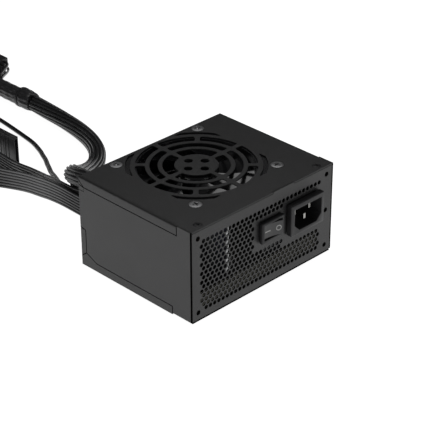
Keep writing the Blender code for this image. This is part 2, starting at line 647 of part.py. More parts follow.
def switch():
    """Rocker switch: a bezel with a pocket, the rocker on a vertical axis and two terminals."""
    x0, x1, z0, z1 = SWITCH
    bezel = block("switch_housing", BLACK_PLASTIC, (x0, -53.2, z0), (x1, -HALF_Y - GAP, z1), 0.6)
    body = block("body", BLACK_PLASTIC, (x0 + 1.5, -51.5, z0 + 1.5), (x1 - 1.5, -38.0, z1 - 1.5))
    low, high = (SWITCH_AXIS[0] - 7.9, -54, z0 + 2.0), (SWITCH_AXIS[0] + 7.9, -41.5, z1 - 2.0)
    cut(join(bezel, body), block("pocket", None, low, high))
    outline = []
    reach, lean = 7.5, math.radians(18)
    corner = (reach * math.cos(lean), reach * math.sin(lean))
    for u, w in ((-corner[0], corner[1]), (-3.6, 1.75), (0, 1.5), (3.6, 1.75), (corner[0], corner[1]),
                 (7.45, 0.6), (7.45, -1.0), (2.2, -6.0), (-2.2, -6.0), (-7.45, -1.0), (-7.45, 0.6)):
        c, s = math.cos(SWITCH_TURN), math.sin(SWITCH_TURN)
        outline.append((SWITCH_AXIS[0] + u * c - w * s, SWITCH_AXIS[1] - (w * c + u * s)))
    rocker = plate("switch_rocker", BLACK_PLASTIC, "XY", outline, [], z0 + 2.4, z1 - 2.4)
    move_origin(rocker, (*SWITCH_AXIS, SWITCH_MID_Z))
    for i, x in enumerate((1.0, 9.5)):
        block(f"switch_terminal_{i + 1}", PIN_METAL, (x - 0.4, -37.7, 37.0), (x + 0.4, -30.0, 42.5))


# ---------------------------------------------------------------- circuit board and its parts
def board():
    """Main board on the bosses, its four screws and the insulating sheet with an upturned lip."""
    x0, x1, y0, y1 = BOARD
    holes = [circle(x, y, 1.7, 12) for x, y in STANDOFFS]
    plate("main_board", BOARD_GREEN, "XY", rectangle(x0, x1, y0, y1), holes, BOARD_LOW, BOARD_TOP)
    for i, (x, y) in enumerate(STANDOFFS):
        profile = [(0, PART_LOW + 1.8), (2.0, PART_LOW + 1.6), (2.8, PART_LOW + 0.8), (2.8, PART_LOW),
                   (1.25, PART_LOW), (1.25, 2.4), (0, 2.2)]
        turned(f"board_screw_{i + 1}", ZINC, profile, (x, y, 0), 16)
    openings = [circle(x, y, 3.4, 12) for x, y in STANDOFFS]
    sheet = plate("insulating_sheet", PAPER, "XY", rectangle(-57, 57, -47.6, 46), openings, 2.0, 2.4)
    join(sheet, block("lip", PAPER, (-57, -47.6, 2.2), (57, -47.2, 17.5)))


def heatsinks():
    """Two upright aluminium plates, with the rectifier and the power transistor held to the first."""
    front = [(-44, 9.0), (-6, 9.0), (-6, 45.0), (-33, 45.0), (-33, 52.0), (-44, 52.0)]
    plate("primary_heatsink", ALUMINIUM, "YZ", front, [], -27.0, -24.5)
    back = [(-4, 9.0), (34, 9.0), (34, 43.0), (-4, 43.0)]
    plate("secondary_heatsink", ALUMINIUM, "YZ", back, [], 13.0, 15.5)
    block("bridge_rectifier", EPOXY, (-24.2, -43, 12), (-20.6, -27, 30), 0.4)
    block("power_transistor", EPOXY, (-31.6, -25, 14), (-27.3, -15.5, 29), 0.4)


def transformer():
    """Main transformer: a core with two windows and a taped winding round its middle leg."""
    x, z0, z1 = -5.0, 10.0, 40.0
    windows = [rectangle(x - 10.6, x - 4.0, z0 + 4, z1 - 4), rectangle(x + 4.0, x + 10.6, z0 + 4, z1 - 4)]
    plate("transformer_core", FERRITE, "XZ", rectangle(x - 14.6, x + 14.6, z0, z1), windows, 2.0, 10.0)
    profile = [(10.2, z1 - 4.6), (10.2, z0 + 4.6), (6.2, z0 + 4.6), (6.2, z1 - 4.6)]
    turned("transformer_winding", TAPE, profile, (x, 6.0, 0), 28)


def can(name, x, y, radius, top):
    """An electrolytic capacitor: a sleeved can with a rolled rim."""
    low = PART_LOW
    profile = [(0, top - 0.4), (radius - 0.8, top - 0.4), (radius - 0.4, top), (radius, top - 0.5),
               (radius, low + 0.8), (radius - 0.5, low), (0, low)]
    return turned(name, CAN_SLEEVE, profile, (x, y, 0), 24)


def toroid(name, x, y, inner, outer, low, high):
    """A wound ring core lying on the board."""
    r = (high - low) * 0.22
    profile = [(outer - r, high), (outer, high - r), (outer, low + r), (outer - r, low),
               (inner + r, low), (inner, low + r), (inner, high - r), (inner + r, high)]
    return turned(name, COPPER, profile, (x, y, 0), 28)


def board_parts():
    can("bulk_capacitor", -44.5, -18.0, 11.0, 44.0)
    can("output_capacitor_1", 25.0, 10.0, 5.0, 32.0)
    can("output_capacitor_2", 25.0, 22.0, 5.0, 32.0)
    toroid("boost_choke", -42.5, 11.0, 4.5, 12.0, 8.2, 20.0)
    toroid("output_choke", 44.0, 30.0, 3.6, 9.5, 8.2, 18.0)
    toroid("filter_choke", 41.0, -31.0, 3.4, 9.0, 8.2, 18.0)
    block("film_capacitor", FILM_CAP, (6, -43, PART_LOW), (24, -34, 24), 0.6)


def inner_wires():
    """Leads inside the case: inlet to switch, inlet to board, and board to the cable opening."""
    tube("live_wire", LIVE_SKIN, LIVE_ROUTE, INNER_WIRE, 3.0)
    tube("neutral_wire", NEUTRAL_SKIN, NEUTRAL_ROUTE, INNER_WIRE, 3.0)
    tube("inner_harness", WIRE_SKIN, HARNESS_ROUTE, 11.0, 5.0, 3)


# ---------------------------------------------------------------- cables
def cable_exit():
    """Edge strip that lines the cable opening on three sides."""
    x0, x1 = EXIT_X
    top = INNER_TOP - GAP - 0.4
    outline = [(x0 - 1.2, EXIT_LOW - 1.2), (x1 + 1.2, EXIT_LOW - 1.2), (x1 + 1.2, top), (x1, top),
               (x1, EXIT_LOW), (x0, EXIT_LOW), (x0, top), (x0 - 1.2, top)]
    plate("cable_grommet", DARK_RUBBER, "XZ", outline, [], 48.4, HALF_Y + 0.2)


def main_cable():
    """Main output cable: bundle, collar, sleeve, spread of single wires and its two-row plug with a latch."""
    tube("main_cable", WIRE_SKIN, MAIN_ROUTE, MAIN_DIAMETER, 7.0, 3)
    collar = [(COLLAR_X, y, COLLAR_Z) for y in COLLAR_Y]
    sleeve = [(COLLAR_X, y, SLEEVE_Z) for y in SLEEVE_Y]
    rod("main_collar", DARK_RUBBER, *collar, COLLAR_RADIUS, sides=28)
    rod("main_sleeve", DARK_RUBBER, *sleeve, SLEEVE_RADIUS, sides=28)
    x0, x1, y0, y1, z0, z1 = PLUG
    near = SLEEVE_Y[1] + GAP
    spread = [(COLLAR_X - 5.5, near), (COLLAR_X + 5.5, near), (COLLAR_X + 9.0, 291.0),
              (COLLAR_X + 22.0, 301.0), (x1 - 2.5, 309.0), (x1 - 2.0, y0 - GAP), (x0 + 2.0, y0 - GAP),
              (x0 + 2.5, 309.0), (COLLAR_X - 9.0, 296.0)]
    plate("wire_spread", WIRE_SKIN, "XY", spread, [], 1.0, 9.6)
    body = block("main_plug", BLACK_PLASTIC, (x0, y0, z0), (x1, y1, z1), 0.5)
    pitch = (x1 - x0 - 2.4) / 12
    for row in range(2):
        for i in range(12):
            x, z = x0 + 1.2 + pitch * i, z0 + 0.75 + row * 4.3
            pin = block("pin_hole", None, (x + 0.5, y1 - 9, z + 0.4), (x + pitch - 0.5, y1 + 1, z + 3.6))
            body = cut(body, pin)
    middle = (x0 + x1) / 2
    latch = [(y0 + 1.0, z1 + 2.6), (y0 + 5.5, z1 + 1.4), (y0 + 7.0, z1 + GAP), (y0 + 10.0, z1 + GAP),
             (y0 + 10.0, z1 + 1.4), (y1 - 0.5, z1 + 1.6), (y1 + 0.5, z1 + 0.6), (y1 + 2.0, z1 + 1.7),
             (y1 + 0.6, z1 + 2.9), (y0 + 8.0, z1 + 2.9), (y0 + 3.0, z1 + 3.9), (y0 + 0.6, z1 + 4.0)]
    hook = plate("main_plug_latch", BLACK_PLASTIC, "YZ", latch, [], middle - 3.5, middle + 3.5)
    move_origin(hook, (middle, y0 + 8.5, z1 + GAP))


def ribbons():
    """Two flat ribbon cables with their crimped plugs, and a thin twin lead with a small plug."""
    band("drive_ribbon", WIRE_SKIN, DRIVE_ROUTE, DRIVE_TURN, 6.0)
    x, y, _ = DRIVE_ROUTE[-1]
    drive = block("drive_plug", BLACK_PLASTIC, (x - 11.8, y + GAP, FLOOR_GAP), (x + 11.8, y + 16, 6.6), 0.5)
    cut(drive, block("drive_mouth", None, (x - 10, y + 8, 1.8), (x + 10, y + 17, 5.0)))
    band("disk_ribbon", WIRE_SKIN, DISK_ROUTE, [0] * len(DISK_ROUTE), 5.0)
    x, y, _ = DISK_ROUTE[-1]
    disk = block("disk_plug", BLACK_PLASTIC, (x - 1.9, y - 21.8, FLOOR_GAP), (x + 1.9, y - GAP, 22.0), 0.4)
    cut(disk, block("disk_mouth", None, (x - 1.1, y - 23, 1.8), (x + 1.1, y - 13, 20.5)))
    tube("fan_signal_lead", WIRE_SKIN, TWIN_ROUTE, TWIN_DIAMETER, 5.0)
    x, y, _ = TWIN_ROUTE[-1]
    block("fan_signal_plug", BLACK_PLASTIC, (x - 4.0, y + GAP, FLOOR_GAP), (x + 4.0, y + 12, 5.6), 0.5)


def build():
    bottom_tray()
    side_panel("left_side_panel", -1)
    side_panel("right_side_panel", 1)
    front_panel()
    top_cover()
    for i, (x, y) in enumerate(fan_screw_places()):
        countersunk_screw(f"fan_screw_{i + 1}", ZINC, x, y, 4.15, 1.75, 50.0)
    for i, x in enumerate((-52.0, 52.0)):
        countersunk_screw(f"cover_screw_{i + 1}", BLACK_SCREW, x, -45.4, 2.55, 1.35, 56.0)
    fan_frame()
    fan_rotor()
    fan_motor()
    inlet()
    switch()
    board()
    heatsinks()
    transformer()
    board_parts()
    inner_wires()
    cable_exit()
    main_cable()
    ribbons()


build()
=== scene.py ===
# %% [markdown]
# # A compact computer power supply
# A small steel box turns mains power into the low voltages of a computer. It is painted with a fine
# grained powder, a fan blows through its top, and its output cables leave by one corner of the back.
# The exact frame, with every part in its place, is loaded first. This lesson then gives it its looks:
# pieces that a drawing leaves plain are made again as surfaces worked out with numpy, and every piece
# gets a finish made of nodes.

# %% Load the frame
import math

import bmesh
import bpy
import numpy as np
from mathutils import Euler, Matrix, Vector


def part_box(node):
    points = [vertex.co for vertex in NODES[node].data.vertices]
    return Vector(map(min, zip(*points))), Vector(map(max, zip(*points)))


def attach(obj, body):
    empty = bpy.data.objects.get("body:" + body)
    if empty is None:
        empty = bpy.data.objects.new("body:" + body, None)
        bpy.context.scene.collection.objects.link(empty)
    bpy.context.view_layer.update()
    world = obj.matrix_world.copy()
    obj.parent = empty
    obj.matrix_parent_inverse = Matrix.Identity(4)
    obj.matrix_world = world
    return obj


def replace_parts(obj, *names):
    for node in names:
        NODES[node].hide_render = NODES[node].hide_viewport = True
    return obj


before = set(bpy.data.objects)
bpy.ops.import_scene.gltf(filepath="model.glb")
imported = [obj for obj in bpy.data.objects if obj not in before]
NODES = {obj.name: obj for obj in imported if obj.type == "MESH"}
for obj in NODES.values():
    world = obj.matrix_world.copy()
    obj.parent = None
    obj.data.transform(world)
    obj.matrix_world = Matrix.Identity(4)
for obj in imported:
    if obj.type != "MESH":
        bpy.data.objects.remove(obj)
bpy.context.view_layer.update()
MM = 0.001


# %% [markdown]
# ## Sizes
# Most places come from the frame: `node_box` gives a node's corners in millimetres. What the frame
# can't tell, such as how many strands a cable has, is named here or beside the piece that needs it.

# %% Sizes from the frame
def node_box(name):
    """Lowest and highest corner of a node, in millimetres."""
    low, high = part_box(name)
    return np.array(low) / MM, np.array(high) / MM


HALF_X, BACK_Y, TOP = node_box("top_cover")[1]
FRONT_Y = node_box("front_panel")[0][1]
SHEET = 0.8
GAP = 0.3
FAN_LOW, FAN_HIGH = node_box("fan_frame")
FAN_X, FAN_Y = (FAN_LOW + FAN_HIGH)[:2] / 2
print("case", 2 * HALF_X, "x", BACK_Y - FRONT_Y, "x", TOP, "mm; fan centre", FAN_X, FAN_Y)

# %% [markdown]
# ## Camera
# The box is seen from its front left corner, from a little above, with a long lens, so that its
# upright edges stay almost parallel. The camera comes first because the cords are judged by what it sees.

# %% Camera
CAMERA_PLACE = Vector((-0.6302, -0.6431, 0.5465))
CAMERA_AIM = Vector((0.6119, 0.6130, -0.4998))
CAMERA_ROLL = math.radians(-0.06)
CAMERA_LENS = 133.9
camera_data = bpy.data.cameras.new("camera")
camera_data.lens = CAMERA_LENS
camera_data.sensor_width = 36.0
camera = bpy.data.objects.new("camera", camera_data)
camera.location = CAMERA_PLACE
turn = CAMERA_AIM.to_track_quat("-Z", "Y").to_matrix() @ Matrix.Rotation(CAMERA_ROLL, 3, "Z")
camera.rotation_euler = turn.to_euler()
bpy.context.scene.collection.objects.link(camera)
bpy.context.scene.camera = camera
print("camera at", [round(v, 3) for v in camera.location], "lens", camera_data.lens)


# %% [markdown]
# ## Shader expressions
# A finish is easier to read as arithmetic than as a page of links. `Socket` wraps an output of a node,
# and its operators add Math nodes: `0.3 + 0.2 * grain` is two of them. `Finish` opens a material, adds
# any other node through one method, and sets the main shader's own sockets.

# %% Shader helpers
class Socket:
    """An output socket whose operators add Math nodes to its tree."""

    def __init__(self, finish, socket):
        self.finish = finish
        self.socket = socket

    def math(self, operation, first, second):
        return self.finish.node("ShaderNodeMath", {"operation": operation}, {0: first, 1: second})

    def __add__(self, other):
        return self.math("ADD", self, other)

    def __sub__(self, other):
        return self.math("SUBTRACT", self, other)

    def __rsub__(self, other):
        return self.math("SUBTRACT", other, self)

    def __mul__(self, other):
        return self.math("MULTIPLY", self, other)

    def __gt__(self, other):
        return self.math("GREATER_THAN", self, other)

    def __lt__(self, other):
        return self.math("LESS_THAN", self, other)

    __radd__ = __add__
    __rmul__ = __mul__


class Finish:
    """A material with a Principled shader, whose sockets are set by name."""

    def __init__(self, name, **values):
        self.material = bpy.data.materials.new(name)
        self.material.use_nodes = True
        self.tree = self.material.node_tree
        self.shader = self.tree.nodes["Principled BSDF"]
        self.place = self.node("ShaderNodeTexCoord", {}, {}, "Object")
        self.set(**values)

    def put(self, socket, value):
        if isinstance(value, Socket):
            self.tree.links.new(value.socket, socket)
        elif isinstance(value, tuple) and len(value) == 3 and socket.type == "RGBA":
            socket.default_value = (*value, 1.0)
        else:
            socket.default_value = value

    def node(self, kind, settings, values, output=0):
        made = self.tree.nodes.new(kind)
        for name, value in settings.items():
            setattr(made, name, value)
        for key, value in values.items():
            self.put(made.inputs[key], value)
        return Socket(self, made.outputs[output])

    def math_of(self, operation, first, second=0.0):
        """A Math node for what has no operator."""
        return self.node("ShaderNodeMath", {"operation": operation}, {0: first, 1: second})

    def set(self, **values):
        """Set sockets of the main shader; a name's underscores stand for spaces."""
        for name, value in values.items():
            self.put(self.shader.inputs[name.replace("_", " ")], value)
        return self

    def noise(self, scale, detail=2.0, place=None, roughness=0.5):
        """Cloudy pattern from 0 to 1; scale is its features per metre."""
        values = {"Vector": place or self.place, "Scale": scale, "Detail": detail, "Roughness": roughness}
        return self.node("ShaderNodeTexNoise", {}, values, "Fac")

    def stretched(self, scale):
        """Object coordinates stretched by three factors."""
        return self.node("ShaderNodeMapping", {}, {"Vector": self.place, "Scale": scale})

    def axis(self, name):
        """One object coordinate, in metres."""
        return self.node("ShaderNodeSeparateXYZ", {}, {"Vector": self.place}, name)

    def mix(self, share, first, second):
        """A colour between two, by share."""
        made = self.tree.nodes.new("ShaderNodeMix")
        made.data_type = "RGBA"
        self.put(made.inputs["Factor"], share)
        self.put(made.inputs[6], first)
        self.put(made.inputs[7], second)
        return Socket(self, made.outputs[2])

    def bump(self, height, distance, strength=1.0):
        """Relief: height from 0 to 1 is distance metres deep."""
        values = {"Height": height, "Distance": distance, "Strength": strength}
        self.set(Normal=self.node("ShaderNodeBump", {}, values))
        return self


print("shader helpers ready")


# %% [markdown]
# ## Mesh helpers
# A surface is a grid of points: rows along one parameter, columns along the other. Whole arrays are
# computed at once, then the grid's quads are numbered by a formula. A tube is such a grid that closes
# on itself across its columns, with a cap at each end.

# %% Surfaces from grids
def grid_faces(rows, columns, wrap):
    """Quads between neighbouring rows and columns; with wrap, the last column joins the first."""
    i, j = np.meshgrid(np.arange(rows - 1), np.arange(columns - (not wrap)), indexing="ij")
    right = (j + 1) % columns
    corners = [i * columns + j, i * columns + right, (i + 1) * columns + right, (i + 1) * columns + j]
    return np.stack(corners, -1).reshape(-1, 4)


def set_finish(piece, finish):
    piece.data.materials.clear()
    piece.data.materials.append(finish.material)
    return piece


def close_and_smooth(mesh, weld, sharp):
    """Merge doubles, point all faces outwards, and shade smooth but for edges above sharp degrees."""
    shape = bmesh.new()
    shape.from_mesh(mesh)
    if weld:
        bmesh.ops.remove_doubles(shape, verts=shape.verts, dist=0.000002)
    bmesh.ops.recalc_face_normals(shape, faces=shape.faces)
    shape.to_mesh(mesh)
    shape.free()
    mesh.shade_smooth()
    mesh.set_sharp_from_angle(angle=math.radians(sharp))


def surface(name, points, finish, wrap=True, caps=True, weld=True, sharp=40, body="case"):
    """A piece from an array (sheets, rows, columns, 3) in millimetres, one grid for each sheet."""
    points = np.asarray(points, float)
    if points.ndim == 3:
        points = points[None]
    sheets, rows, columns, _ = points.shape
    starts = np.arange(sheets)[:, None, None] * rows * columns
    faces = (grid_faces(rows, columns, wrap)[None] + starts).reshape(-1, 4).tolist()
    if caps:
        ring = np.arange(columns)
        ends = np.stack([ring[::-1], ring + (rows - 1) * columns])[None] + starts
        faces += ends.reshape(-1, columns).tolist()
    mesh = bpy.data.meshes.new(name)
    mesh.from_pydata((points.reshape(-1, 3) * MM).tolist(), [], faces)
    close_and_smooth(mesh, weld, sharp)
    piece = bpy.data.objects.new(name, mesh)
    bpy.context.scene.collection.objects.link(piece)
    set_finish(piece, finish)
    return settle(piece, body)


def settle(piece, body):
    """The piece rides on its body."""
    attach(piece, body)
    return piece


def lathe(profile, centre, sides=48):
    """Grid of a profile of (radius, z) turned about a vertical line: x = r cos a, y = r sin a."""
    profile = np.array(profile, float)
    angle = np.linspace(0, 2 * np.pi, sides, endpoint=False)
    x = centre[0] + profile[:, :1] * np.cos(angle)
    y = centre[1] + profile[:, :1] * np.sin(angle)
    z = np.repeat(profile[:, 1:], sides, axis=1)
    return np.stack([x, y, z], -1)


def rounded(profile, radius, steps=4):
    """The profile with each inner corner replaced by a short arc, as a quadratic curve between two points."""
    p = np.array(profile, float)
    before, after = p[:-2] - p[1:-1], p[2:] - p[1:-1]
    reach_before = np.minimum(radius, np.linalg.norm(before, axis=1) * 0.45)[:, None]
    reach_after = np.minimum(radius, np.linalg.norm(after, axis=1) * 0.45)[:, None]
    start = p[1:-1] + before / np.linalg.norm(before, axis=1)[:, None] * reach_before
    end = p[1:-1] + after / np.linalg.norm(after, axis=1)[:, None] * reach_after
    t = np.linspace(0, 1, steps + 1)[None, :, None]
    arcs = (1 - t) ** 2 * start[:, None] + 2 * t * (1 - t) * p[1:-1][:, None] + t**2 * end[:, None]
    return np.vstack([p[:1], arcs.reshape(-1, p.shape[1]), p[-1:]])


print("surface helpers ready")


# %% [markdown]
# A part whose drawn shape is right still has knife edges, and real moulded or folded edges catch a thin
# line of light. `softened` makes a merged copy of such a node and rounds its edges with a Bevel
# modifier. Sheets with many holes are filled flat curves, given their thickness and a small rounding.
# A big flat face must not share its shading with the narrow rounding beside it, or long streaks cross
# it, so the sheets keep every edge above a few degrees sharp.

# %% Softened copies and filled sheets
def softened(node, finish, width, segments=2, body="case"):
    """A merged copy of a node with edges rounded to width millimetres; it stands for the node."""
    mesh = NODES[node].data.copy()
    shape = bmesh.new()
    shape.from_mesh(mesh)
    bmesh.ops.remove_doubles(shape, verts=shape.verts, dist=0.000005)
    flat = math.radians(1)
    bmesh.ops.dissolve_limit(shape, angle_limit=flat, verts=shape.verts, edges=shape.edges)
    shape.to_mesh(mesh)
    shape.free()
    mesh.shade_smooth()
    mesh.set_sharp_from_angle(angle=math.radians(40))
    piece = bpy.data.objects.new(node + "_piece", mesh)
    bpy.context.scene.collection.objects.link(piece)
    bevel = piece.modifiers.new("soft edges", "BEVEL")
    bevel.width = width * MM
    bevel.segments = segments
    bevel.limit_method = "ANGLE"
    bevel.angle_limit = math.radians(35)
    bevel.harden_normals = True
    set_finish(piece, finish)
    settle(piece, body)
    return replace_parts(piece, node)


SHEET_SHARP = 12
PLANES = {"XY": (0, 0, 0), "XZ": (math.pi / 2, 0, 0)}


def filled_sheet(name, plane, rings, low, high, edge, finish):
    """A flat outline and its holes as a sheet from low to high across its plane, its rims rounded by edge."""
    curve = bpy.data.curves.new(name, "CURVE")
    curve.dimensions = "2D"
    curve.fill_mode = "BOTH"
    curve.bevel_depth = edge * MM
    curve.bevel_resolution = 1
    curve.offset = -edge * MM
    curve.extrude = ((high - low) / 2 - edge) * MM
    for ring in rings:
        spline = curve.splines.new("POLY")
        spline.points.add(len(ring) - 1)
        spline.use_cyclic_u = True
        flat = np.column_stack([np.asarray(ring) * MM, np.zeros(len(ring)), np.ones(len(ring))])
        spline.points.foreach_set("co", flat.ravel())
    drawn = bpy.data.objects.new(name, curve)
    bpy.context.scene.collection.objects.link(drawn)
    bpy.context.view_layer.update()
    mesh = bpy.data.meshes.new_from_object(drawn.evaluated_get(bpy.context.evaluated_depsgraph_get()))
    bpy.data.objects.remove(drawn)
    middle = (low + high) / 2 * MM
    shift = {"XY": (0, 0, middle), "XZ": (0, middle, 0)}[plane]
    mesh.transform(Matrix.Translation(shift) @ Euler(PLANES[plane]).to_matrix().to_4x4())
    close_and_smooth(mesh, True, SHEET_SHARP)
    piece = bpy.data.objects.new(name, mesh)
    bpy.context.scene.collection.objects.link(piece)
    set_finish(piece, finish)
    return settle(piece, "case")


def opening_ring(node, margin):
    """Outline of a rectangle in the inlet face, a margin inside the node's sides."""
    (x0, _, z0), (x1, _, z1) = node_box(node)
    x0, z0, x1, z1 = x0 + margin, z0 + margin, x1 - margin, z1 - margin
    return np.array([(x0, z0), (x1, z0), (x1, z1), (x0, z1)], float)


def round_ring(x, y, radius, sides=24):
    """Outline of a circle."""
    a = np.linspace(0, 2 * np.pi, sides, endpoint=False)
    return np.column_stack([x + radius * np.cos(a), y + radius * np.sin(a)])


print("sheet helpers ready")

# %% [markdown]
# ## Finishes
# The case has a fine grained powder coat: black, a little rough, with tiny pits that scatter the light.
# Its grain is a noise at about a third of a millimetre in the relief, and a slower noise changes the
# roughness a little, as where hands have polished it. Where two sheets meet, the real gap is too fine
# to cast a shadow that shows at this size, so a mask on the case's own coordinates mixes a painted shade
# of black into the paint, in bands wider than the gaps: along the front's upright edges, its foot, and
# the seams of both sides.

# %% Powder coat
case_paint = Finish("case_paint", Specular_IOR_Level=0.4)
grain = case_paint.noise(3200, 3.0, roughness=0.6)
clouds = case_paint.noise(60, 3.0)
case_paint.set(Base_Color=case_paint.mix(grain, (0.008, 0.008, 0.0085), (0.024, 0.024, 0.0245)),
               Roughness=0.34 + 0.1 * grain + 0.08 * clouds)
case_paint.bump(grain, 0.00009)
print("powder coat made")


# %% Painted shade along the seams, as lines of (y, z) in millimetres
SEAM_SHADE_REACH, SIDE_SHADE_DEPTH = 0.34, 0.3
EDGE_SHADE_WIDTH, EDGE_SHADE_DEPTH = 0.85, 0.55
SEAMS = (((-33.5, 0.8), (-33.5, 5.8), (35.8, 5.8), (45.2, 9.9), (45.2, 26.7), (50.0, 27.7)),
         ((45.2, 9.9), (50.0, 6.4)),
         ((-38.1, 63.5), (-38.1, 57.2), (45.4, 57.2), (50.0, 61.2)), ((45.4, 57.2), (50.0, 57.9)))


def seam_shade_mask(finish):
    """Painted shade mask: 1 close to a line between two folded sheets, 0 elsewhere, by the distance to it."""
    y, z = finish.axis("Y"), finish.axis("Z")
    shade = 0.0
    for line in SEAMS:
        for (y0, z0), (y1, z1) in zip(line, line[1:]):
            span = math.hypot(y1 - y0, z1 - z0)
            turn_y, turn_z = (y1 - y0) / span, (z1 - z0) / span
            off_y, off_z = y - y0 * MM, z - z0 * MM
            along = finish.math_of("MINIMUM", off_y * turn_y + off_z * turn_z, span * MM)
            along = finish.math_of("MAXIMUM", along, 0.0)
            off_y, off_z = off_y - along * turn_y, off_z - along * turn_z
            close = (off_y * off_y + off_z * off_z) < (SEAM_SHADE_REACH * MM) ** 2
            shade = finish.math_of("MAXIMUM", close, shade)
    return shade


def paint_gap_shade(finish):
    """Mix a painted shade of black, which gives no light back, along the front's edges and the sides' seams.
    """
    front = finish.axis("Y") < (FRONT_Y + EDGE_SHADE_DEPTH) * MM
    across = finish.math_of("ABSOLUTE", finish.axis("X"))
    upright = (across > (HALF_X - EDGE_SHADE_WIDTH) * MM) * front
    foot = (finish.axis("Z") < EDGE_SHADE_WIDTH * MM) * front
    seams = seam_shade_mask(finish) * (across > (HALF_X - SIDE_SHADE_DEPTH) * MM)
    shade = finish.math_of("MAXIMUM", finish.math_of("MAXIMUM", upright, foot), seams)
    # painted shade: this black stands for the dark gaps where the sheets meet, in bands wider than the gaps
    black = finish.node("ShaderNodeBsdfDiffuse", {}, {"Color": (0.002, 0.002, 0.002)}, "BSDF")
    paint = Socket(finish, finish.shader.outputs["BSDF"])
    both = finish.node("ShaderNodeMixShader", {}, {0: shade, 1: paint, 2: black}, "Shader")
    finish.put(finish.tree.nodes["Material Output"].inputs["Surface"], both)


# painted shade in the seams and along the front edges of the case paint
paint_gap_shade(case_paint)
print("dark seams along", sum(len(line) - 1 for line in SEAMS), "lines on each side")

# %% [markdown]
# Moulded black plastics differ by their gloss: the fan is shiny nylon with glass fibre streaks, the
# inlet and the switch are satin with little glare, and the plugs are a little duller. Cable skins are
# soft PVC, whose sheen is broken by slow, long waves where the strand was drawn.


# %% Plastics and cable skins
def moulded(name, colour, low, high, grain_scale, relief):
    """Satin plastic: roughness wanders between low and high, over a fine spark-eroded grain."""
    made = Finish(name, Specular_IOR_Level=0.5)
    fine = made.noise(grain_scale, 2.0)
    slow = made.noise(90, 2.0)
    lighter = tuple(min(1.0, c * 1.6 + 0.004) for c in colour)
    made.set(Base_Color=made.mix(slow, colour, lighter), Roughness=low + (high - low) * slow + 0.05 * fine)
    return made.bump(fine, relief)


fan_plastic = moulded("fan_plastic", (0.010, 0.010, 0.011), 0.16, 0.28, 1500, 0.00002)
rotor_plastic = moulded("rotor_plastic", (0.008, 0.008, 0.009), 0.10, 0.2, 900, 0.00001)
inlet_plastic = moulded("inlet_plastic", (0.013, 0.013, 0.014), 0.3, 0.42, 2600, 0.00003)
switch_plastic = moulded("switch_plastic", (0.012, 0.012, 0.013), 0.34, 0.44, 2600, 0.00003)
rocker_plastic = moulded("rocker_plastic", (0.011, 0.011, 0.012), 0.3, 0.38, 2200, 0.00002)
plug_plastic = moulded("plug_plastic", (0.012, 0.012, 0.013), 0.36, 0.48, 2400, 0.00003)
epoxy = moulded("epoxy", (0.012, 0.012, 0.012), 0.4, 0.55, 3000, 0.00004)
ferrite = moulded("ferrite", (0.030, 0.030, 0.033), 0.5, 0.65, 2500, 0.00006)
rubber = moulded("rubber", (0.013, 0.013, 0.0135), 0.5, 0.65, 1800, 0.00004)
# painted shade: a near-black for strips that stand for the shade inside the plug's grooves
groove_shade_black = moulded("groove_shade_black", (0.001, 0.001, 0.001), 0.8, 0.9, 1800, 0.00002)
shrink_tube = moulded("shrink_tube", (0.016, 0.016, 0.017), 0.34, 0.48, 700, 0.00008)
wire_skin = moulded("wire_skin", (0.013, 0.013, 0.014), 0.28, 0.42, 260, 0.00005)
ribbon_skin = moulded("ribbon_skin", (0.015, 0.015, 0.016), 0.3, 0.42, 240, 0.00005)
brown_skin = moulded("brown_wire", (0.14, 0.035, 0.015), 0.3, 0.4, 260, 0.00004)
blue_skin = moulded("blue_wire", (0.02, 0.07, 0.32), 0.3, 0.4, 260, 0.00004)
mark_paint = moulded("mark_paint", (0.20, 0.20, 0.195), 0.4, 0.5, 2500, 0.00001)
rotor_plastic.set(Specular_IOR_Level=1.0)
inlet_plastic.set(Specular_IOR_Level=0.32)
switch_plastic.set(Specular_IOR_Level=0.2)
print("plastics made")


# %% [markdown]
# Metals: dark zinc plated screws with a turned face, nickel plated pins, brushed aluminium heatsinks whose
# scratches run one way, so the noise is squeezed along that direction, and enamelled copper wire.

# %% Metals
def metal(name, colour, roughness, stretch, scale, relief):
    """Plated or brushed metal: noise stretched along the scratches drives roughness and relief."""
    made = Finish(name, Metallic=1.0)
    scratches = made.noise(scale, 4.0, made.stretched(stretch))
    stains = made.noise(150, 3.0)
    darker = tuple(c * 0.72 for c in colour)
    made.set(Base_Color=made.mix(stains, darker, colour), Roughness=roughness + 0.16 * scratches)
    return made.bump(scratches, relief)


screw_zinc = metal("screw_zinc", (0.25, 0.25, 0.255), 0.32, (1, 1, 0.2), 2500, 0.00002)
screw_black = metal("screw_black", (0.045, 0.045, 0.046), 0.4, (1, 1, 0.2), 2500, 0.00002)
shaft_steel = metal("shaft_steel", (0.55, 0.55, 0.56), 0.22, (1, 1, 0.1), 2200, 0.00001)
contact_metal = metal("contact_metal", (0.36, 0.355, 0.34), 0.16, (1, 0.1, 1), 1800, 0.00001)
heatsink_metal = metal("heatsink_metal", (0.74, 0.75, 0.76), 0.26, (1, 1, 0.06), 1500, 0.00003)
copper = metal("copper", (0.62, 0.24, 0.08), 0.22, (1, 1, 1), 900, 0.00003)
print("metals made")

# %% [markdown]
# The board, its insulating sheet and the small parts are seen only as glints through the vents, so
# their colours matter more than their detail: a dark brown board, a dull beige sheet, yellow tape.

# %% Board finishes
board_resin = Finish("board_resin", Specular_IOR_Level=0.5)
tracks = board_resin.node("ShaderNodeTexVoronoi", {"feature": "DISTANCE_TO_EDGE"},
                          {"Vector": board_resin.place, "Scale": 260.0}, "Distance")
track_mask = tracks < 0.12
weave = board_resin.noise(1800, 2.0)
board_resin.set(Base_Color=board_resin.mix(track_mask, (0.045, 0.040, 0.022), (0.028, 0.028, 0.014)),
                Roughness=0.35 + 0.2 * weave)
board_resin.bump(track_mask * 0.6 + weave * 0.2, 0.00004)

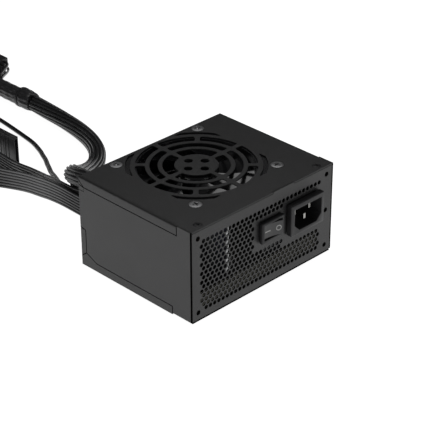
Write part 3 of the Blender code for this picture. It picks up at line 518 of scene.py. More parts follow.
paper = Finish("insulating_sheet", Roughness=0.7)
fibres = paper.noise(700, 4.0, paper.stretched((1, 0.3, 1)))
paper.set(Base_Color=paper.mix(fibres, (0.062, 0.059, 0.045), (0.092, 0.088, 0.068)),
          Roughness=0.6 + 0.2 * fibres)
paper.bump(fibres, 0.00005)

tape = Finish("winding_tape", Coat_Roughness=0.2)
wraps = tape.node("ShaderNodeTexWave", {"bands_direction": "Z"},
                  {"Vector": tape.place, "Scale": 120.0, "Distortion": 1.5, "Detail": 2.0}, "Fac")
tape.set(Base_Color=tape.mix(wraps, (0.30, 0.20, 0.03), (0.40, 0.28, 0.05)), Roughness=0.25 + 0.15 * wraps,
         Coat_Weight=0.4 * wraps)
tape.bump(wraps, 0.00006)

can_sleeve = Finish("capacitor_sleeve", Coat_Roughness=0.15)
sleeve_clouds = can_sleeve.noise(120, 3.0)
stripe = can_sleeve.axis("X") > (node_box("bulk_capacitor")[1][0] - 2.2) * MM
can_sleeve.set(Base_Color=can_sleeve.mix(stripe, (0.012, 0.014, 0.05), (0.45, 0.45, 0.42)),
               Roughness=0.22 + 0.15 * sleeve_clouds, Coat_Weight=0.5 * sleeve_clouds)
can_sleeve.bump(sleeve_clouds, 0.00005)

film = moulded("film_capacitor", (0.045, 0.046, 0.05), 0.3, 0.45, 900, 0.00005)
print("board finishes made")


# %% [markdown]
# ## Cords
# Four cords leave the back: the thick bundle to the computer's main board, two flat ribbons and a thin
# twin lead. Each has a route: points that start straight out of the opening, sink to
# the floor and lie there. A Catmull-Rom curve joins the points smoothly, and a cross-section is carried
# along it. The side of the section is level, so a ribbon stands on its edge until it is turned.

# %% Routes, in millimetres
MAIN_ROUTE = [
    (-50.2, 49.0, 53.6), (-50.2, 56.0, 53.5), (-49.7, 64.5, 52.4), (-46.0, 74.4, 49.0), (-38.0, 84.4, 42.9),
    (-27.1, 95.2, 34.4), (-14.4, 107.2, 25.0), (-0.2, 119.2, 16.0), (13.7, 128.9, 9.8), (26.6, 137.8, 7.0),
    (37.8, 150.0, 6.5), (45.6, 165.2, 6.5), (50.7, 183.4, 6.5), (53.8, 205.0, 6.5), (55.0, 222.0, 6.6),
    (55.2, 240.0, 7.5),
]
DRIVE_ROUTE = [
    (-56.4, 49.0, 37.1), (-56.4, 57.0, 37.3), (-56.1, 66.0, 37.2), (-54.9, 75.5, 36.2), (-52.8, 86.0, 34.0),
    (-50.2, 97.5, 30.9), (-47.2, 110.0, 26.9), (-44.2, 123.0, 22.9), (-41.8, 136.5, 18.6),
    (-40.2, 150.0, 14.3), (-39.4, 163.0, 10.6), (-38.5, 176.0, 7.2), (-36.5, 189.0, 4.6),
    (-33.8, 202.0, 2.3), (-29.4, 215.0, 1.45), (-23.8, 228.0, 1.35), (-18.8, 241.0, 1.3),
    (-15.5, 253.5, 1.3), (-15.0, 266.0, 1.3),
]
DRIVE_TURN = [0, 0, 0, 0, 0, 0, 0, 0, 2, 6, 18, 46, 75, 88, 90, 90, 90, 90, 90]
DISK_ROUTE = [
    (-53.6, 49.0, 39.9), (-53.6, 57.0, 39.9), (-53.5, 66.0, 38.7), (-50.6, 81.0, 35.8), (-45.0, 96.0, 30.8),
    (-38.6, 111.0, 24.4), (-33.6, 125.0, 19.8), (-29.8, 140.0, 16.0), (-27.4, 154.0, 12.8),
    (-24.7, 167.0, 10.0), (-23.6, 180.0, 9.8), (-23.6, 192.0, 10.2), (-23.6, 206.0, 10.3),
    (-23.6, 220.0, 10.2), (-26.1, 231.3, 10.0), (-33.2, 241.4, 10.0), (-41.0, 252.4, 9.8),
    (-43.4, 264.8, 9.4), (-40.4, 276.8, 9.0), (-32.4, 286.6, 8.2), (-20.8, 292.1, 7.8), (-8.0, 292.1, 7.8),
    (3.6, 286.8, 7.8), (11.6, 277.2, 7.8), (14.9, 265.0, 7.8), (12.9, 252.4, 7.8), (6.2, 242.0, 8.0),
    (-2.4, 232.4, 8.4), (-6.9, 220.4, 9.0), (-7.2, 205.8, 9.0),
]
TWIN_ROUTE = [
    (-48.6, 49.0, 38.0), (-48.6, 56.0, 38.0), (-48.5, 66.0, 37.6), (-47.0, 78.0, 36.4), (-43.6, 90.0, 34.1),
    (-38.0, 101.0, 31.0), (-31.4, 112.3, 27.2), (-23.6, 125.8, 22.4), (-16.2, 137.2, 18.8),
    (-9.6, 147.3, 15.4), (-2.4, 158.0, 12.0), (3.6, 168.2, 9.1), (9.2, 177.8, 6.7), (13.6, 186.6, 4.9),
    (17.4, 195.0, 3.4), (20.1, 203.5, 2.5), (22.6, 217.5, 2.1), (24.4, 231.0, 2.1), (25.8, 243.1, 2.1),
    (26.8, 257.0, 2.1), (27.0, 272.0, 2.3),
]
LIVE_ROUTE = [
    (27.95, -25.7, 40.9), (27.5, -22.5, 40.0), (22.0, -21.0, 38.5), (13.0, -23.0, 39.0), (9.8, -27.0, 39.6),
    (9.5, -29.7, 39.7),
]
NEUTRAL_ROUTE = [
    (41.95, -25.7, 40.9), (42.6, -22.0, 39.0), (44.0, -19.5, 30.0), (44.0, -19.0, 18.0), (44.0, -19.0, 8.2),
]
HARNESS_ROUTE = [
    (-50.2, 48.0, 40.0), (-50.2, 44.0, 39.5), (-49.6, 38.0, 34.0), (-48.0, 33.5, 25.0), (-46.8, 31.4, 14.0),
    (-46.5, 31.0, 8.2),
]
MAIN_DIAMETER, TWIN_DIAMETER = 12.4, 3.6
RIBBON_WIDTH, RIBBON_THICK = 14.4, 2.0


# %% Carrying a section along a route
def smooth_route(points, spacing):
    """Points a spacing apart on the Catmull-Rom curve, where each piece is a cubic of four neighbours."""
    given = np.array(points, float)
    padded = np.vstack([2 * given[0] - given[1], given, 2 * given[-1] - given[-2]])
    share = np.linspace(0, 1, 25)[:-1, None]
    a, b, c, d = (padded[i:len(padded) - 3 + i, None] for i in range(4))
    runs = 0.5 * (2 * b + (c - a) * share + (2 * a - 5 * b + 4 * c - d) * share**2
                  + (3 * b - a - 3 * c + d) * share**3)
    fine = np.vstack([runs.reshape(-1, 3), given[-1:]])
    length = np.concatenate([[0], np.cumsum(np.linalg.norm(np.diff(fine, axis=0), axis=1))])
    wanted = np.linspace(0, length[-1], max(2, int(round(length[-1] / spacing)) + 1))
    return np.column_stack([np.interp(wanted, length, fine[:, axis]) for axis in range(3)])


def unit(vectors):
    return vectors / np.linalg.norm(vectors, axis=-1, keepdims=True)


def route_frame(points, spacing, turns=None):
    """The route with two unit vectors across it: side, which is level, and rise; turns roll both."""
    route = smooth_route(points, spacing)
    ahead = unit(np.gradient(route, axis=0))
    side = unit(np.cross(ahead, (0, 0, 1)))
    rise = np.cross(side, ahead)
    if turns is None:
        return route, side, rise
    share = np.linspace(0, len(points) - 1, len(route))
    angle = np.radians(np.interp(share, np.arange(len(points)), turns))[:, None]
    wide = np.cos(angle) * rise + np.sin(angle) * side
    thick = np.cos(angle) * side - np.sin(angle) * rise
    return route, thick, wide


def carried(route, side, rise, section):
    """A closed section of (across, up) points placed at each point of a route."""
    return route[:, None] + section[None, :, :1] * side[:, None] + section[None, :, 1:] * rise[:, None]


def length_of(points, spacing=1.0):
    """Length of a smooth route in millimetres."""
    route = smooth_route(points, spacing)
    return float(np.linalg.norm(np.diff(route, axis=0), axis=1).sum())


def ribbed(count, pitch, radius):
    """Section of a ribbon: round conductors side by side, and |across| is the highest circle there."""
    up = np.linspace(-count * pitch / 2, count * pitch / 2, count * 6 + 1)
    from_centre = (up / pitch + count / 2) % 1.0 - 0.5
    across = np.sqrt(np.maximum(radius**2 - (from_centre * pitch) ** 2, (radius * 0.35) ** 2))
    across[[0, -1]] = 0.0
    return np.vstack([np.column_stack([across, up]), np.column_stack([-across, up])[-2:0:-1]])


def strands(name, route, side, rise, rings, radius, lay, finish):
    """Wires twisted round a route: wire k is at its ring's radius, at angle k + lay turns for each mm."""
    walked = np.concatenate([[0], np.cumsum(np.linalg.norm(np.diff(route, axis=0), axis=1))])
    places = [(ring, 2 * np.pi * k / count) for ring, count in rings for k in range(count)]
    tubes = []
    for ring, angle in places:
        a = angle + 2 * np.pi * lay * walked
        wire = route + ring * (np.cos(a)[:, None] * side + np.sin(a)[:, None] * rise)
        tubes.append(carried(wire, side, rise, round_ring(0, 0, radius, 8)))
    return surface(name, tubes, finish, weld=False)


print("lengths in mm:", [round(length_of(r)) for r in (MAIN_ROUTE, DRIVE_ROUTE, DISK_ROUTE, TWIN_ROUTE)])


# %% [markdown]
# The main bundle is two dozen wires, twisted lightly. Mostly the outer ring is seen, so fourteen wires
# lie round an inner ring of eight and a core of two, and the whole keeps to the bundle's diameter.
# At the opening some wires stand away from the bundle before they join it.

# %% Main bundle
WIRE_RADIUS = 1.12
OUTER_RING = MAIN_DIAMETER / 2 - WIRE_RADIUS
main_path, main_side, main_rise = route_frame(MAIN_ROUTE, 2.0)
main_bundle = strands("main_bundle", main_path, main_side, main_rise,
                      [(OUTER_RING, 14), (OUTER_RING - 2.1, 8), (0.9, 2)], WIRE_RADIUS, 0.0022, wire_skin)
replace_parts(main_bundle, "main_cable")
print("main bundle of", len(main_path), "stations")


# %% Loose wires at the opening
def stray_wire(start_x, start_z, reach, drop, join):
    """A wire that leaves beside the bundle, bows out by reach and joins the route at index join."""
    end = main_path[join]
    middle = (start_x + 1.5, BACK_Y + reach, start_z - drop)
    return [(start_x, BACK_Y - 1.0, start_z), (start_x, BACK_Y + reach * 0.55, start_z - drop * 0.3), middle,
            tuple(middle + (end - middle) * 0.5 + np.array((0.0, reach * 0.12, 1.5))), tuple(end)]


strays = []
for start_x, start_z, reach, drop, join in (
        (-55.0, 51.5, 17.0, 0.6, 24), (-54.6, 55.4, 15.0, -0.8, 22), (-51.8, 49.3, 20.0, 2.0, 27),
        (-48.6, 48.2, 21.5, 3.0, 29), (-46.0, 50.6, 18.5, 2.0, 28), (-50.2, 46.2, 23.5, 3.6, 31)):
    wire, side, rise = route_frame(stray_wire(start_x, start_z, reach, drop, join), 1.2)
    count = 40
    pick = np.linspace(0, len(wire) - 1, count).round().astype(int)
    strays.append(carried(wire[pick], side[pick], rise[pick], round_ring(0, 0, 0.85, 8)))
exit_wires = surface("exit_wires", strays, wire_skin, weld=False)
print(len(strays), "loose wires")

# %% [markdown]
# Where the bundle ends its wires are gathered by a collar of shrunk tube with a cable tie round it, then
# run in a smooth sleeve to the plug. Shrunk tube follows what is under it, so its surface is a cylinder
# whose radius has shallow ridges over the wires and a ragged mouth. The tie is a ring.

# %% Collar, tie and sleeve
collar_low, collar_high = node_box("main_collar")
sleeve_low, sleeve_high = node_box("main_sleeve")
COLLAR_X, COLLAR_Z = (collar_low[0] + collar_high[0]) / 2, (collar_low[2] + collar_high[2]) / 2
SLEEVE_Z = (sleeve_low[2] + sleeve_high[2]) / 2
COLLAR_RADIUS = (collar_high[0] - collar_low[0]) / 2
SLEEVE_RADIUS = (sleeve_high[0] - sleeve_low[0]) / 2


def shrunk(y, radius, angle):
    """x and z of a shrunk tube: its radius ripples over 14 wires and by slow creases along it."""
    ripple = 0.16 * np.cos(14 * angle) + 0.12 * np.sin(3 * angle + y * 0.7)
    r = radius - 0.3 + ripple
    return COLLAR_X + r * np.cos(angle), r * np.sin(angle)


angle = np.linspace(0, 2 * np.pi, 112, endpoint=False)[None, :]
share = np.linspace(0, 1, 26)[:, None]
ragged = 0.9 * np.sin(7 * angle) + 0.6 * np.sin(11 * angle + 1.0)
y = collar_low[1] + 1.6 + ragged * (1 - share) + (collar_high[1] - collar_low[1] - 1.6) * share
swell = COLLAR_RADIUS - 0.9 + 0.9 * np.sin(np.pi * np.clip(share * 1.1, 0, 1)) ** 0.5
x, z = shrunk(y, swell, angle)
collar = surface("collar", np.stack([x, y, z + COLLAR_Z], -1), shrink_tube)
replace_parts(collar, "main_collar")

y = sleeve_low[1] - 0.6 + (sleeve_high[1] - sleeve_low[1] + 0.6) * np.linspace(0, 1, 40)[:, None] + 0 * angle
crease = 0.14 * np.sin(y * 0.55 + 2 * np.sin(angle)) * np.exp(-((y - sleeve_low[1]) / 9) ** 2)
x, z = shrunk(y, SLEEVE_RADIUS - 0.05 + crease, angle)
sleeve = surface("sleeve", np.stack([x, y, z + SLEEVE_Z], -1), shrink_tube)
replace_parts(sleeve, "main_sleeve")

TIE_WIDTH, TIE_THICK = 2.6, 0.6
tie_angle = np.linspace(0, 2 * np.pi, 72, endpoint=False)
tie_section = rounded([(0, 0), (TIE_THICK, 0), (TIE_THICK, TIE_WIDTH), (0, TIE_WIDTH), (0, 0)], 0.2)[:-1]
tie_radius = COLLAR_RADIUS - 0.55 + tie_section[None, :, 0]
tie_points = np.stack([COLLAR_X + tie_radius * np.cos(tie_angle)[:, None],
                       collar_high[1] - 4.6 + tie_section[None, :, 1] + 0 * tie_angle[:, None],
                       COLLAR_Z + tie_radius * np.sin(tie_angle)[:, None]], -1)
cable_tie = surface("cable_tie", np.concatenate([tie_points, tie_points[:1]]), plug_plastic, caps=False)
print("collar, sleeve and tie made")

# %% [markdown]
# Past the sleeve the wires spread out to the two rows of the plug. Each wire is a smooth S from its
# place in the sleeve to its chamber: its offset goes from a small ring to a grid by a cosine ease.

# %% Spread of wires and plug
plug_low, plug_high = node_box("main_plug")
index = np.arange(24)
chamber_x = plug_low[0] + 1.2 + (index % 12 + 0.5) * (plug_high[0] - plug_low[0] - 2.4) / 12
chamber_z = plug_low[2] + 2.7 + (index // 12) * 4.3
ring_angle = 2 * np.pi * index / 24 * 2.4
ring_x = COLLAR_X + np.where(index % 2, 4.4, 2.4) * np.cos(ring_angle)
ring_z = SLEEVE_Z + np.where(index % 2, 4.0, 2.0) * np.sin(ring_angle)
ease = (1 - np.cos(np.pi * np.linspace(0, 1, 30))) / 2
bow = np.sin(np.pi * np.linspace(0, 1, 30))
wire_x = ring_x[:, None] + (chamber_x - ring_x)[:, None] * ease + 1.5 * bow
wire_z = ring_z[:, None] + (chamber_z - ring_z)[:, None] * ease
wire_z = np.clip(wire_z, 1.5, 8.9)
wire_y = sleeve_high[1] - 1.5 + (plug_low[1] - sleeve_high[1] + 2.0) * np.linspace(0, 1, 30)[None, :]
wires = np.stack([wire_x, np.broadcast_to(wire_y, wire_x.shape), wire_z], -1)
ring = round_ring(0, 0, 1.25, 8)
wires = wires[:, :, None] + np.stack([ring[:, 0], 0 * ring[:, 0], ring[:, 1]], -1)[None, None]
plug_wires = surface("plug_wires", wires, wire_skin, weld=False)
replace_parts(plug_wires, "wire_spread")
main_plug = softened("main_plug", plug_plastic, 0.25)
plug_latch = softened("main_plug_latch", plug_plastic, 0.3, body="plug_latch")
main_path_m = main_path * MM
print("main cord", round(length_of(MAIN_ROUTE)), "mm")


# %% [markdown]
# A flat ribbon is a row of wires whose skins are joined, so its section is a row of bumps. One ribbon
# turns from its edge to its flat side as it comes down, and the other stays on its edge.

# %% Ribbons
CONDUCTORS = 7


def ribbon(name, points, turns, spacing, finish, node):
    """A ribbed ribbon along a route, which stands for the node."""
    route, thick, wide = route_frame(points, spacing, turns)
    section = ribbed(CONDUCTORS, RIBBON_WIDTH / CONDUCTORS, RIBBON_THICK / 2)
    made = surface(name, carried(route, thick, wide, section), finish, sharp=60)
    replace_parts(made, node)
    route[0] * MM
    route * MM


drive_plug = softened("drive_plug", plug_plastic, 0.3)
disk_plug = softened("disk_plug", plug_plastic, 0.3)

# %% Painted groove shade on the upright plug: near-black strips laid on its face
(plug_x0, plug_y0, plug_z0), (_, _, plug_z1) = node_box("disk_plug")
groove_y = plug_y0 + np.array([6.6, 10.2, 12.4, 15.6, 18.8])
groove_half = np.array([0.45, 0.6, 0.3, 0.5, 0.5])
groove_section = rounded([(-1, 0.1), (-1, -0.03), (1, -0.03), (1, 0.1), (-1, 0.1)], 0.03)[:-1]
groove_z = np.array([plug_z0 + 2.0, plug_z1 - 1.4])
groove_points = np.stack(np.broadcast_arrays(
    plug_x0 + groove_section[None, None, :, 1],
    groove_y[:, None, None] + groove_half[:, None, None] * groove_section[None, None, :, 0],
    groove_z[None, :, None]), -1)
# the strips are painted shade, a hair proud of the plug's face, where its grooves lie
plug_groove_shade = surface("plug_groove_shade", groove_points, groove_shade_black)

ribbon("drive_ribbon_wires", DRIVE_ROUTE, DRIVE_TURN, 2.0, ribbon_skin, "drive_ribbon")
ribbon("disk_ribbon_wires", DISK_ROUTE, [0] * len(DISK_ROUTE), 2.0, ribbon_skin, "disk_ribbon")
print("ribbons with", CONDUCTORS, "conductors each")

# %% [markdown]
# The twin lead is two thin wires side by side in one skin: a section like a figure of eight.

# %% Twin lead
twin_path, twin_side, twin_rise = route_frame(TWIN_ROUTE, 2.0)
twin_section = ribbed(2, TWIN_DIAMETER / 2, TWIN_DIAMETER / 4 + 0.05)[:, ::-1]
twin_lead = surface("twin_lead", carried(twin_path, twin_side, twin_rise, twin_section), wire_skin, sharp=60)
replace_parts(twin_lead, "fan_signal_lead")
signal_plug = softened("fan_signal_plug", plug_plastic, 0.3)
twin_path[0] * MM
twin_path * MM
softened("cable_grommet", rubber, 0.35)
print("twin lead", round(length_of(TWIN_ROUTE)), "mm")

# %% [markdown]
# ## The inlet face
# The sheet is punched with a honeycomb of vents, so its looks are in the holes: rows that stand half a
# pitch apart, with none round the switch and the inlet. Each hole is a circle pulled a little towards a
# hexagon with a point upwards: its radius is r (1 - e cos 6a). Behind the foot of each side wall a dark
# strip closes the corner, so that no light comes in under the wall and out through a bolt hole.

# %% Perforated face
VENT_TOP, VENT_PITCH, VENT_STEP, VENT_RADIUS = 54.2, 3.63, 3.14, 1.46
VENT_EVEN, VENT_ODD = -51.9, -53.6
BOLT_X, BOLT_RADIUS = 56.5, 1.65
BOLT_HEIGHTS = (6.0, 57.5)
TAB = (8.0, 26.3)
EDGE_X = HALF_X - SHEET - GAP
INNER_TOP = TOP - SHEET


def vent_ends(row):
    """Last place along a row of vents, counted from the top."""
    if row in (1, 9, 10):
        return 15.6
    return -10.0 if 2 <= row <= 8 else 49.9


def vent(x, z):
    """A twelve-sided hole, drawn out to six soft points."""
    a = np.linspace(0, 2 * np.pi, 12, endpoint=False)
    r = VENT_RADIUS * (1 - 0.045 * np.cos(6 * a))
    return np.column_stack([x + r * np.cos(a), z + r * np.sin(a)])


face_outline = [(-EDGE_X, SHEET + GAP), (EDGE_X, SHEET + GAP), (EDGE_X, INNER_TOP - GAP),
                (TAB[1], INNER_TOP - GAP), (TAB[1], TOP), (TAB[0], TOP), (TAB[0], INNER_TOP - GAP),
                (-EDGE_X, INNER_TOP - GAP)]
face_rings = [face_outline]
for row in range(16):
    first = VENT_EVEN if row % 2 == 0 else VENT_ODD
    first += VENT_PITCH if row == 15 else 0.0
    height = VENT_TOP - row * VENT_STEP
    face_rings += [vent(x, height) for x in np.arange(first, vent_ends(row), VENT_PITCH)]
face_rings += [round_ring(x, z, BOLT_RADIUS) for x in (-BOLT_X, BOLT_X) for z in BOLT_HEIGHTS]
face_rings.append(round_ring(BOLT_X, 31.75, BOLT_RADIUS))
face_rings += [opening_ring("switch_housing", 1.2), opening_ring("inlet_housing", 1.0)]
inlet_face = filled_sheet("inlet_face", "XZ", face_rings, FRONT_Y, FRONT_Y + SHEET, 0.08, case_paint)
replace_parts(inlet_face, "front_panel")
print(len(face_rings) - 8, "vents in the inlet face")

# %% Dark strips behind the side walls' feet, no part of the real box, that block light to keep shade there
blocker_x = HALF_X - SHEET - 0.8
blocker_y = np.array([FRONT_Y + SHEET + 0.4, -36.0])
blocker_section = rounded([(0, 0.95), (0.7, 0.95), (0.7, 3.2), (0, 3.2), (0, 0.95)], 0.2)[:-1]
blockers = np.stack([np.stack(np.broadcast_arrays(side * (blocker_x + blocker_section[None, :, 0]), blocker_y[:, None],
                                               blocker_section[None, :, 1]), -1) for side in (-1, 1)])
# the dark strips stand where there is only shade, and block the light that would come in under the walls
surface("foot_light_blockers", blockers, rubber)
print(len(blockers), "strips")

# %% [markdown]
# ## The cover
# A flat plate with the fan grille cut in it, folded down at both sides. The grille is three rings of
# slots with round corners about a middle disc, and one more slot lies across each corner. The plate
# is a filled outline, and each fold is a strip carried along the edge: down the side, round a quarter
# circle and into the top.

# %% Fan grille and cover plate
WEB = 3.3
GRILLE_WINDOW = 38.8
RINGS = ((14.0, 21.5, 4), (24.5, 29.6, 4), (32.5, 38.8, 8))
CORNER_INNER, CORNER_OUTER, CORNER_SPREAD = 41.9, 45.0, math.radians(42)
HUB_REACH, HUB_HOLE = 7.35, 2.8
FLANGE_FRONT_Y, FLANGE_LOW_Z = -38.0, 57.3
FOLD = 1.2
SCREW_X = 71.5 / 2
CORNER = 1.5
SCREW_SEAT = 4.5
COVER_SCREWS = ((-52.0, -45.4), (52.0, -45.4))
COVER_SCREW_HOLE = 2.7


def ring_slot(inner, outer, middle, spread):
    """Outline of a slot between two radii with round corners, clipped to the fan's square window."""
    share = (1 - np.cos(np.linspace(0, np.pi, max(28, int(spread / math.radians(2)))))) / 2
    a = middle + (share - 0.5) * spread
    from_end = np.minimum(share, 1 - share) * spread * (inner + outer) / 2
    inset = CORNER - np.sqrt(CORNER**2 - np.clip(CORNER - from_end, 0, CORNER) ** 2)
    rims = [np.column_stack([r * np.cos(a), r * np.sin(a)]) for r in (outer - inset, inner + inset)]
    corners = np.vstack([rims[0], rims[1][::-1]])
    return np.clip(corners, -GRILLE_WINDOW, GRILLE_WINDOW) + (FAN_X, FAN_Y)


slots = []
for inner, outer, count in RINGS:
    open_angle = 2 * math.pi / count - WEB / ((inner + outer) / 2)
    slots += [ring_slot(inner, outer, math.pi * (1 + 2 * i) / count, open_angle) for i in range(count)]
quarter_turns = [math.pi / 2 * i for i in range(4)]
slots += [ring_slot(CORNER_INNER, CORNER_OUTER, math.pi / 4 + a, CORNER_SPREAD) for a in quarter_turns]
slots += [round_ring(FAN_X + HUB_REACH * math.cos(a), FAN_Y + HUB_REACH * math.sin(a), HUB_HOLE)
          for a in quarter_turns]
screw_places = [(FAN_X + sx * SCREW_X, FAN_Y + sy * SCREW_X) for sx in (-1, 1) for sy in (-1, 1)]
slots += [round_ring(x, y, SCREW_SEAT, 32) for x, y in screw_places]
slots += [round_ring(x, y, COVER_SCREW_HOLE, 24) for x, y in COVER_SCREWS]
flat_x = HALF_X - FOLD
notch_y = FRONT_Y + SHEET + GAP
notch_x0, notch_x1 = TAB[0] - GAP, TAB[1] + GAP
cover_outline = [(-EDGE_X, FRONT_Y), (notch_x0, FRONT_Y), (notch_x0, notch_y), (notch_x1, notch_y),
                 (notch_x1, FRONT_Y), (EDGE_X, FRONT_Y), (EDGE_X, FLANGE_FRONT_Y),
                 (flat_x, FLANGE_FRONT_Y), (flat_x, BACK_Y), (-flat_x, BACK_Y),
                 (-flat_x, FLANGE_FRONT_Y), (-EDGE_X, FLANGE_FRONT_Y)]
cover_plate = filled_sheet("cover_plate", "XY", [cover_outline, *slots], INNER_TOP, TOP, 0.1, case_paint)
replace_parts(cover_plate, "top_cover")
print(len(slots), "openings in the cover")


# %% Folds of the cover and screw seats
def fold_section(outer):
    """Half of a fold's section in (x, z): up from the flange's foot, round the bend and into the top."""
    bend = np.linspace(0, np.pi / 2, 8)
    radius = FOLD if outer else FOLD - SHEET
    centre = (HALF_X - FOLD, TOP - FOLD)
    arc = np.column_stack([centre[0] + radius * np.cos(bend), centre[1] + radius * np.sin(bend)])
    side = HALF_X if outer else HALF_X - SHEET
    top = TOP if outer else INNER_TOP
    return np.vstack([[(side, FLANGE_LOW_Z)], arc, [(flat_x - 0.4, top)]])


section = np.vstack([fold_section(True), fold_section(False)[::-1]])
stations = np.array([FLANGE_FRONT_Y, FLANGE_FRONT_Y + 0.3, 45.3, BACK_Y - 0.5, BACK_Y])
shrink = np.array([0.0, 0.0, 0.0, 3.4, 3.7])[:, None]
low = np.maximum(section[None, :, 1], np.minimum(FLANGE_LOW_Z + shrink, TOP))
for side, name in ((-1, "left_fold"), (1, "right_fold")):
    points = np.stack([np.broadcast_to(side * section[None, :, 0], low.shape),
                       np.broadcast_to(stations[:, None], low.shape), low], -1)
    surface(name, points, case_paint, sharp=30)

seat_edge, seat_hole = SCREW_SEAT + 0.2, 2.2
seat = [(seat_edge, TOP - 0.12), (SCREW_SEAT - 0.15, TOP - 0.1), (seat_hole, INNER_TOP + 0.02),
        (seat_hole, INNER_TOP), (seat_edge, INNER_TOP + 0.1), (seat_edge, TOP - 0.12)]
surface("screw_seats", [lathe(seat, place, 32) for place in screw_places], case_paint, caps=False)
print("folds and seats made")

# %% [markdown]
# ## Screws
# A screw head is a round dome with a cross recess. On a polar grid the dome is z = h (1 - (r/R)^2), and
# the recess is taken away where |x| or |y| is less than the driver's blade, with its depth fading towards
# the arms' ends, as the cone of a real driver leaves it.


# %% Screw heads
def cross_head(place, head, dome, blade, reach, depth, turn, tip_z, shank):
    """Grid of a screw: a polar head with its recess, then a cone down to the shank and its tip."""
    a = np.linspace(0, 2 * np.pi, 96, endpoint=False)[None, :]
    r = np.linspace(0, 1, 30)[:, None] * head
    x, y = r * np.cos(a - turn), r * np.sin(a - turn)
    arm = np.maximum(np.clip((blade - np.abs(x)) / 0.22, 0, 1) * np.clip((reach - np.abs(y)) / 0.3, 0, 1),
                     np.clip((blade - np.abs(y)) / 0.22, 0, 1) * np.clip((reach - np.abs(x)) / 0.3, 0, 1))
    fade = 1 - 0.55 * np.clip(r / reach, 0, 1)
    z = TOP + dome * (1 - (r / head) ** 4) - arm * depth * fade
    lower = np.array([(head, TOP - 0.12), (head * 0.97, TOP - 0.3), (shank, INNER_TOP + 0.1),
                      (shank, tip_z + 1), (shank * 0.5, tip_z), (0, tip_z)])
    radii = np.vstack([np.broadcast_to(r, z.shape), np.repeat(lower[:, :1], 96, axis=1)])
    heights = np.vstack([z, np.repeat(lower[:, 1:], 96, axis=1)])
    return np.stack([place[0] + radii * np.cos(a), place[1] + radii * np.sin(a), heights], -1)


for number, place in enumerate(screw_places, 1):
    head = cross_head(place, 4.15, 0.32, 0.62, 2.3, 1.5, 0.5 + 0.9 * number, 50.0, 1.75)
    screw = surface(f"fan_screw_{number}_head", head, screw_zinc, caps=False, sharp=32)
    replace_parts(screw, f"fan_screw_{number}")
for number, place in enumerate(COVER_SCREWS, 1):
    head = cross_head(place, 2.55, 0.25, 0.4, 1.5, 0.9, 0.3 + 1.1 * number, 56.0, 1.35)
    screw = surface(f"cover_screw_{number}_head", head, screw_black, caps=False, sharp=32)
    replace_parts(screw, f"cover_screw_{number}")
print("six screws with cross recesses")

# %% [markdown]
# ## The fan
# Seven swept blades stand on a shallow cup. A blade is a grid: one way from its root to its tip, the
# other way round its section, out along the upper face and back along the lower. Its thickness is
# largest at a third of the chord, as on a wing.

# %% Rotor
BLADES = 7
BLADE_ROOT, BLADE_TIP = 13.6, 36.6
out = np.linspace(0, 1, 22)[:, None]
loop = np.linspace(0, 2, 48, endpoint=False)[None, :]
chord = np.where(loop < 1, loop, 2 - loop)
face = np.where(loop < 1, 1.0, -1.0)
radius = BLADE_ROOT + out * (BLADE_TIP - BLADE_ROOT)
thickness = (0.28 + 1.35 * np.sqrt(chord) * (1 - chord) ** 0.8) * (1 - 0.35 * out)
blade_grids = []
for i in range(BLADES):
    angle = 2 * np.pi * i / BLADES + np.radians(18 * out + chord * (38 + 6 * out))
    rise = 51.2 + (9.2 - 1.6 * out) * chord + 0.9 * np.sin(np.pi * chord) + face * thickness / 2
    blade_grids.append(np.stack([FAN_X + radius * np.cos(angle), FAN_Y + radius * np.sin(angle), rise], -1))
HUB_PROFILE = ((0, 61.4), (12.9, 61.4), (14.2, 60.0), (14.2, 50.4), (13.2, 50.4), (13.2, 59.8), (0, 59.8))
hub_profile = rounded(HUB_PROFILE, 0.7)
surface("rotor_blades", blade_grids, rotor_plastic, sharp=50, body="rotor")
hub = surface("rotor_hub", lathe(hub_profile, (FAN_X, FAN_Y), 64), rotor_plastic, caps=False, body="rotor")
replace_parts(hub, "fan_rotor")
softened("fan_frame", fan_plastic, 0.35)
print(BLADES, "blades")

# %% [markdown]
# ## Inlet and switch
# Both are moulded parts whose drawn shape is right, so rounded edges and a satin finish are enough. The
# rocker gets two printed signs, a bar and a ring, which lie a hair above its face and turn with it.

# %% Inlet and switch
softened("inlet_housing", inlet_plastic, 0.3)
softened("switch_housing", switch_plastic, 0.3)
softened("switch_rocker", rocker_plastic, 0.45, 3, body="rocker")
for node in ("live_pin", "neutral_pin", "earth_pin"):
    softened(node, contact_metal, 0.4, 3)
ROCKER_AXIS = np.array((5.25, -51.2, 39.75))
ROCKER_TURN = math.radians(10)
ROCKER_FACE = ((0, 3.6, 7.13), (1.5, 1.75, 2.32))
MARK_LIFT = 0.02


def on_rocker(u, height):
    """Points a hair above the rocker's face, which rises from its axis (u = 0) towards both ends."""
    slope = np.interp(np.abs(u), *ROCKER_FACE) + MARK_LIFT
    c, s = math.cos(ROCKER_TURN), math.sin(ROCKER_TURN)
    return np.stack([ROCKER_AXIS[0] + u * c - slope * s, ROCKER_AXIS[1] - (slope * c + u * s),
                     ROCKER_AXIS[2] + height + 0 * u], -1)


bar_u, bar_z = np.meshgrid(np.linspace(-6.3, -1.9, 9), np.array([-0.42, 0.42]), indexing="ij")
surface("mark_on", on_rocker(bar_u, bar_z), mark_paint, wrap=False, caps=False, body="rocker")
ring_turn, ring_r = np.meshgrid(np.linspace(0, 2 * np.pi, 49), np.array([1.3, 1.95]), indexing="ij")
ring_u = 4.3 + ring_r * np.cos(ring_turn)
surface("mark_off", on_rocker(ring_u, ring_r * np.sin(ring_turn)), mark_paint, wrap=False,
        caps=False, body="rocker")
print("switch signs made")

# %% [markdown]
# ## Inside
# The board's parts are seen as glints through the vents. The chokes are rings wound with wire: the
# surface of a ring whose small radius swells and sinks once for each turn of wire. The capacitors are
# turned profiles with a rolled rim and a beaded foot.


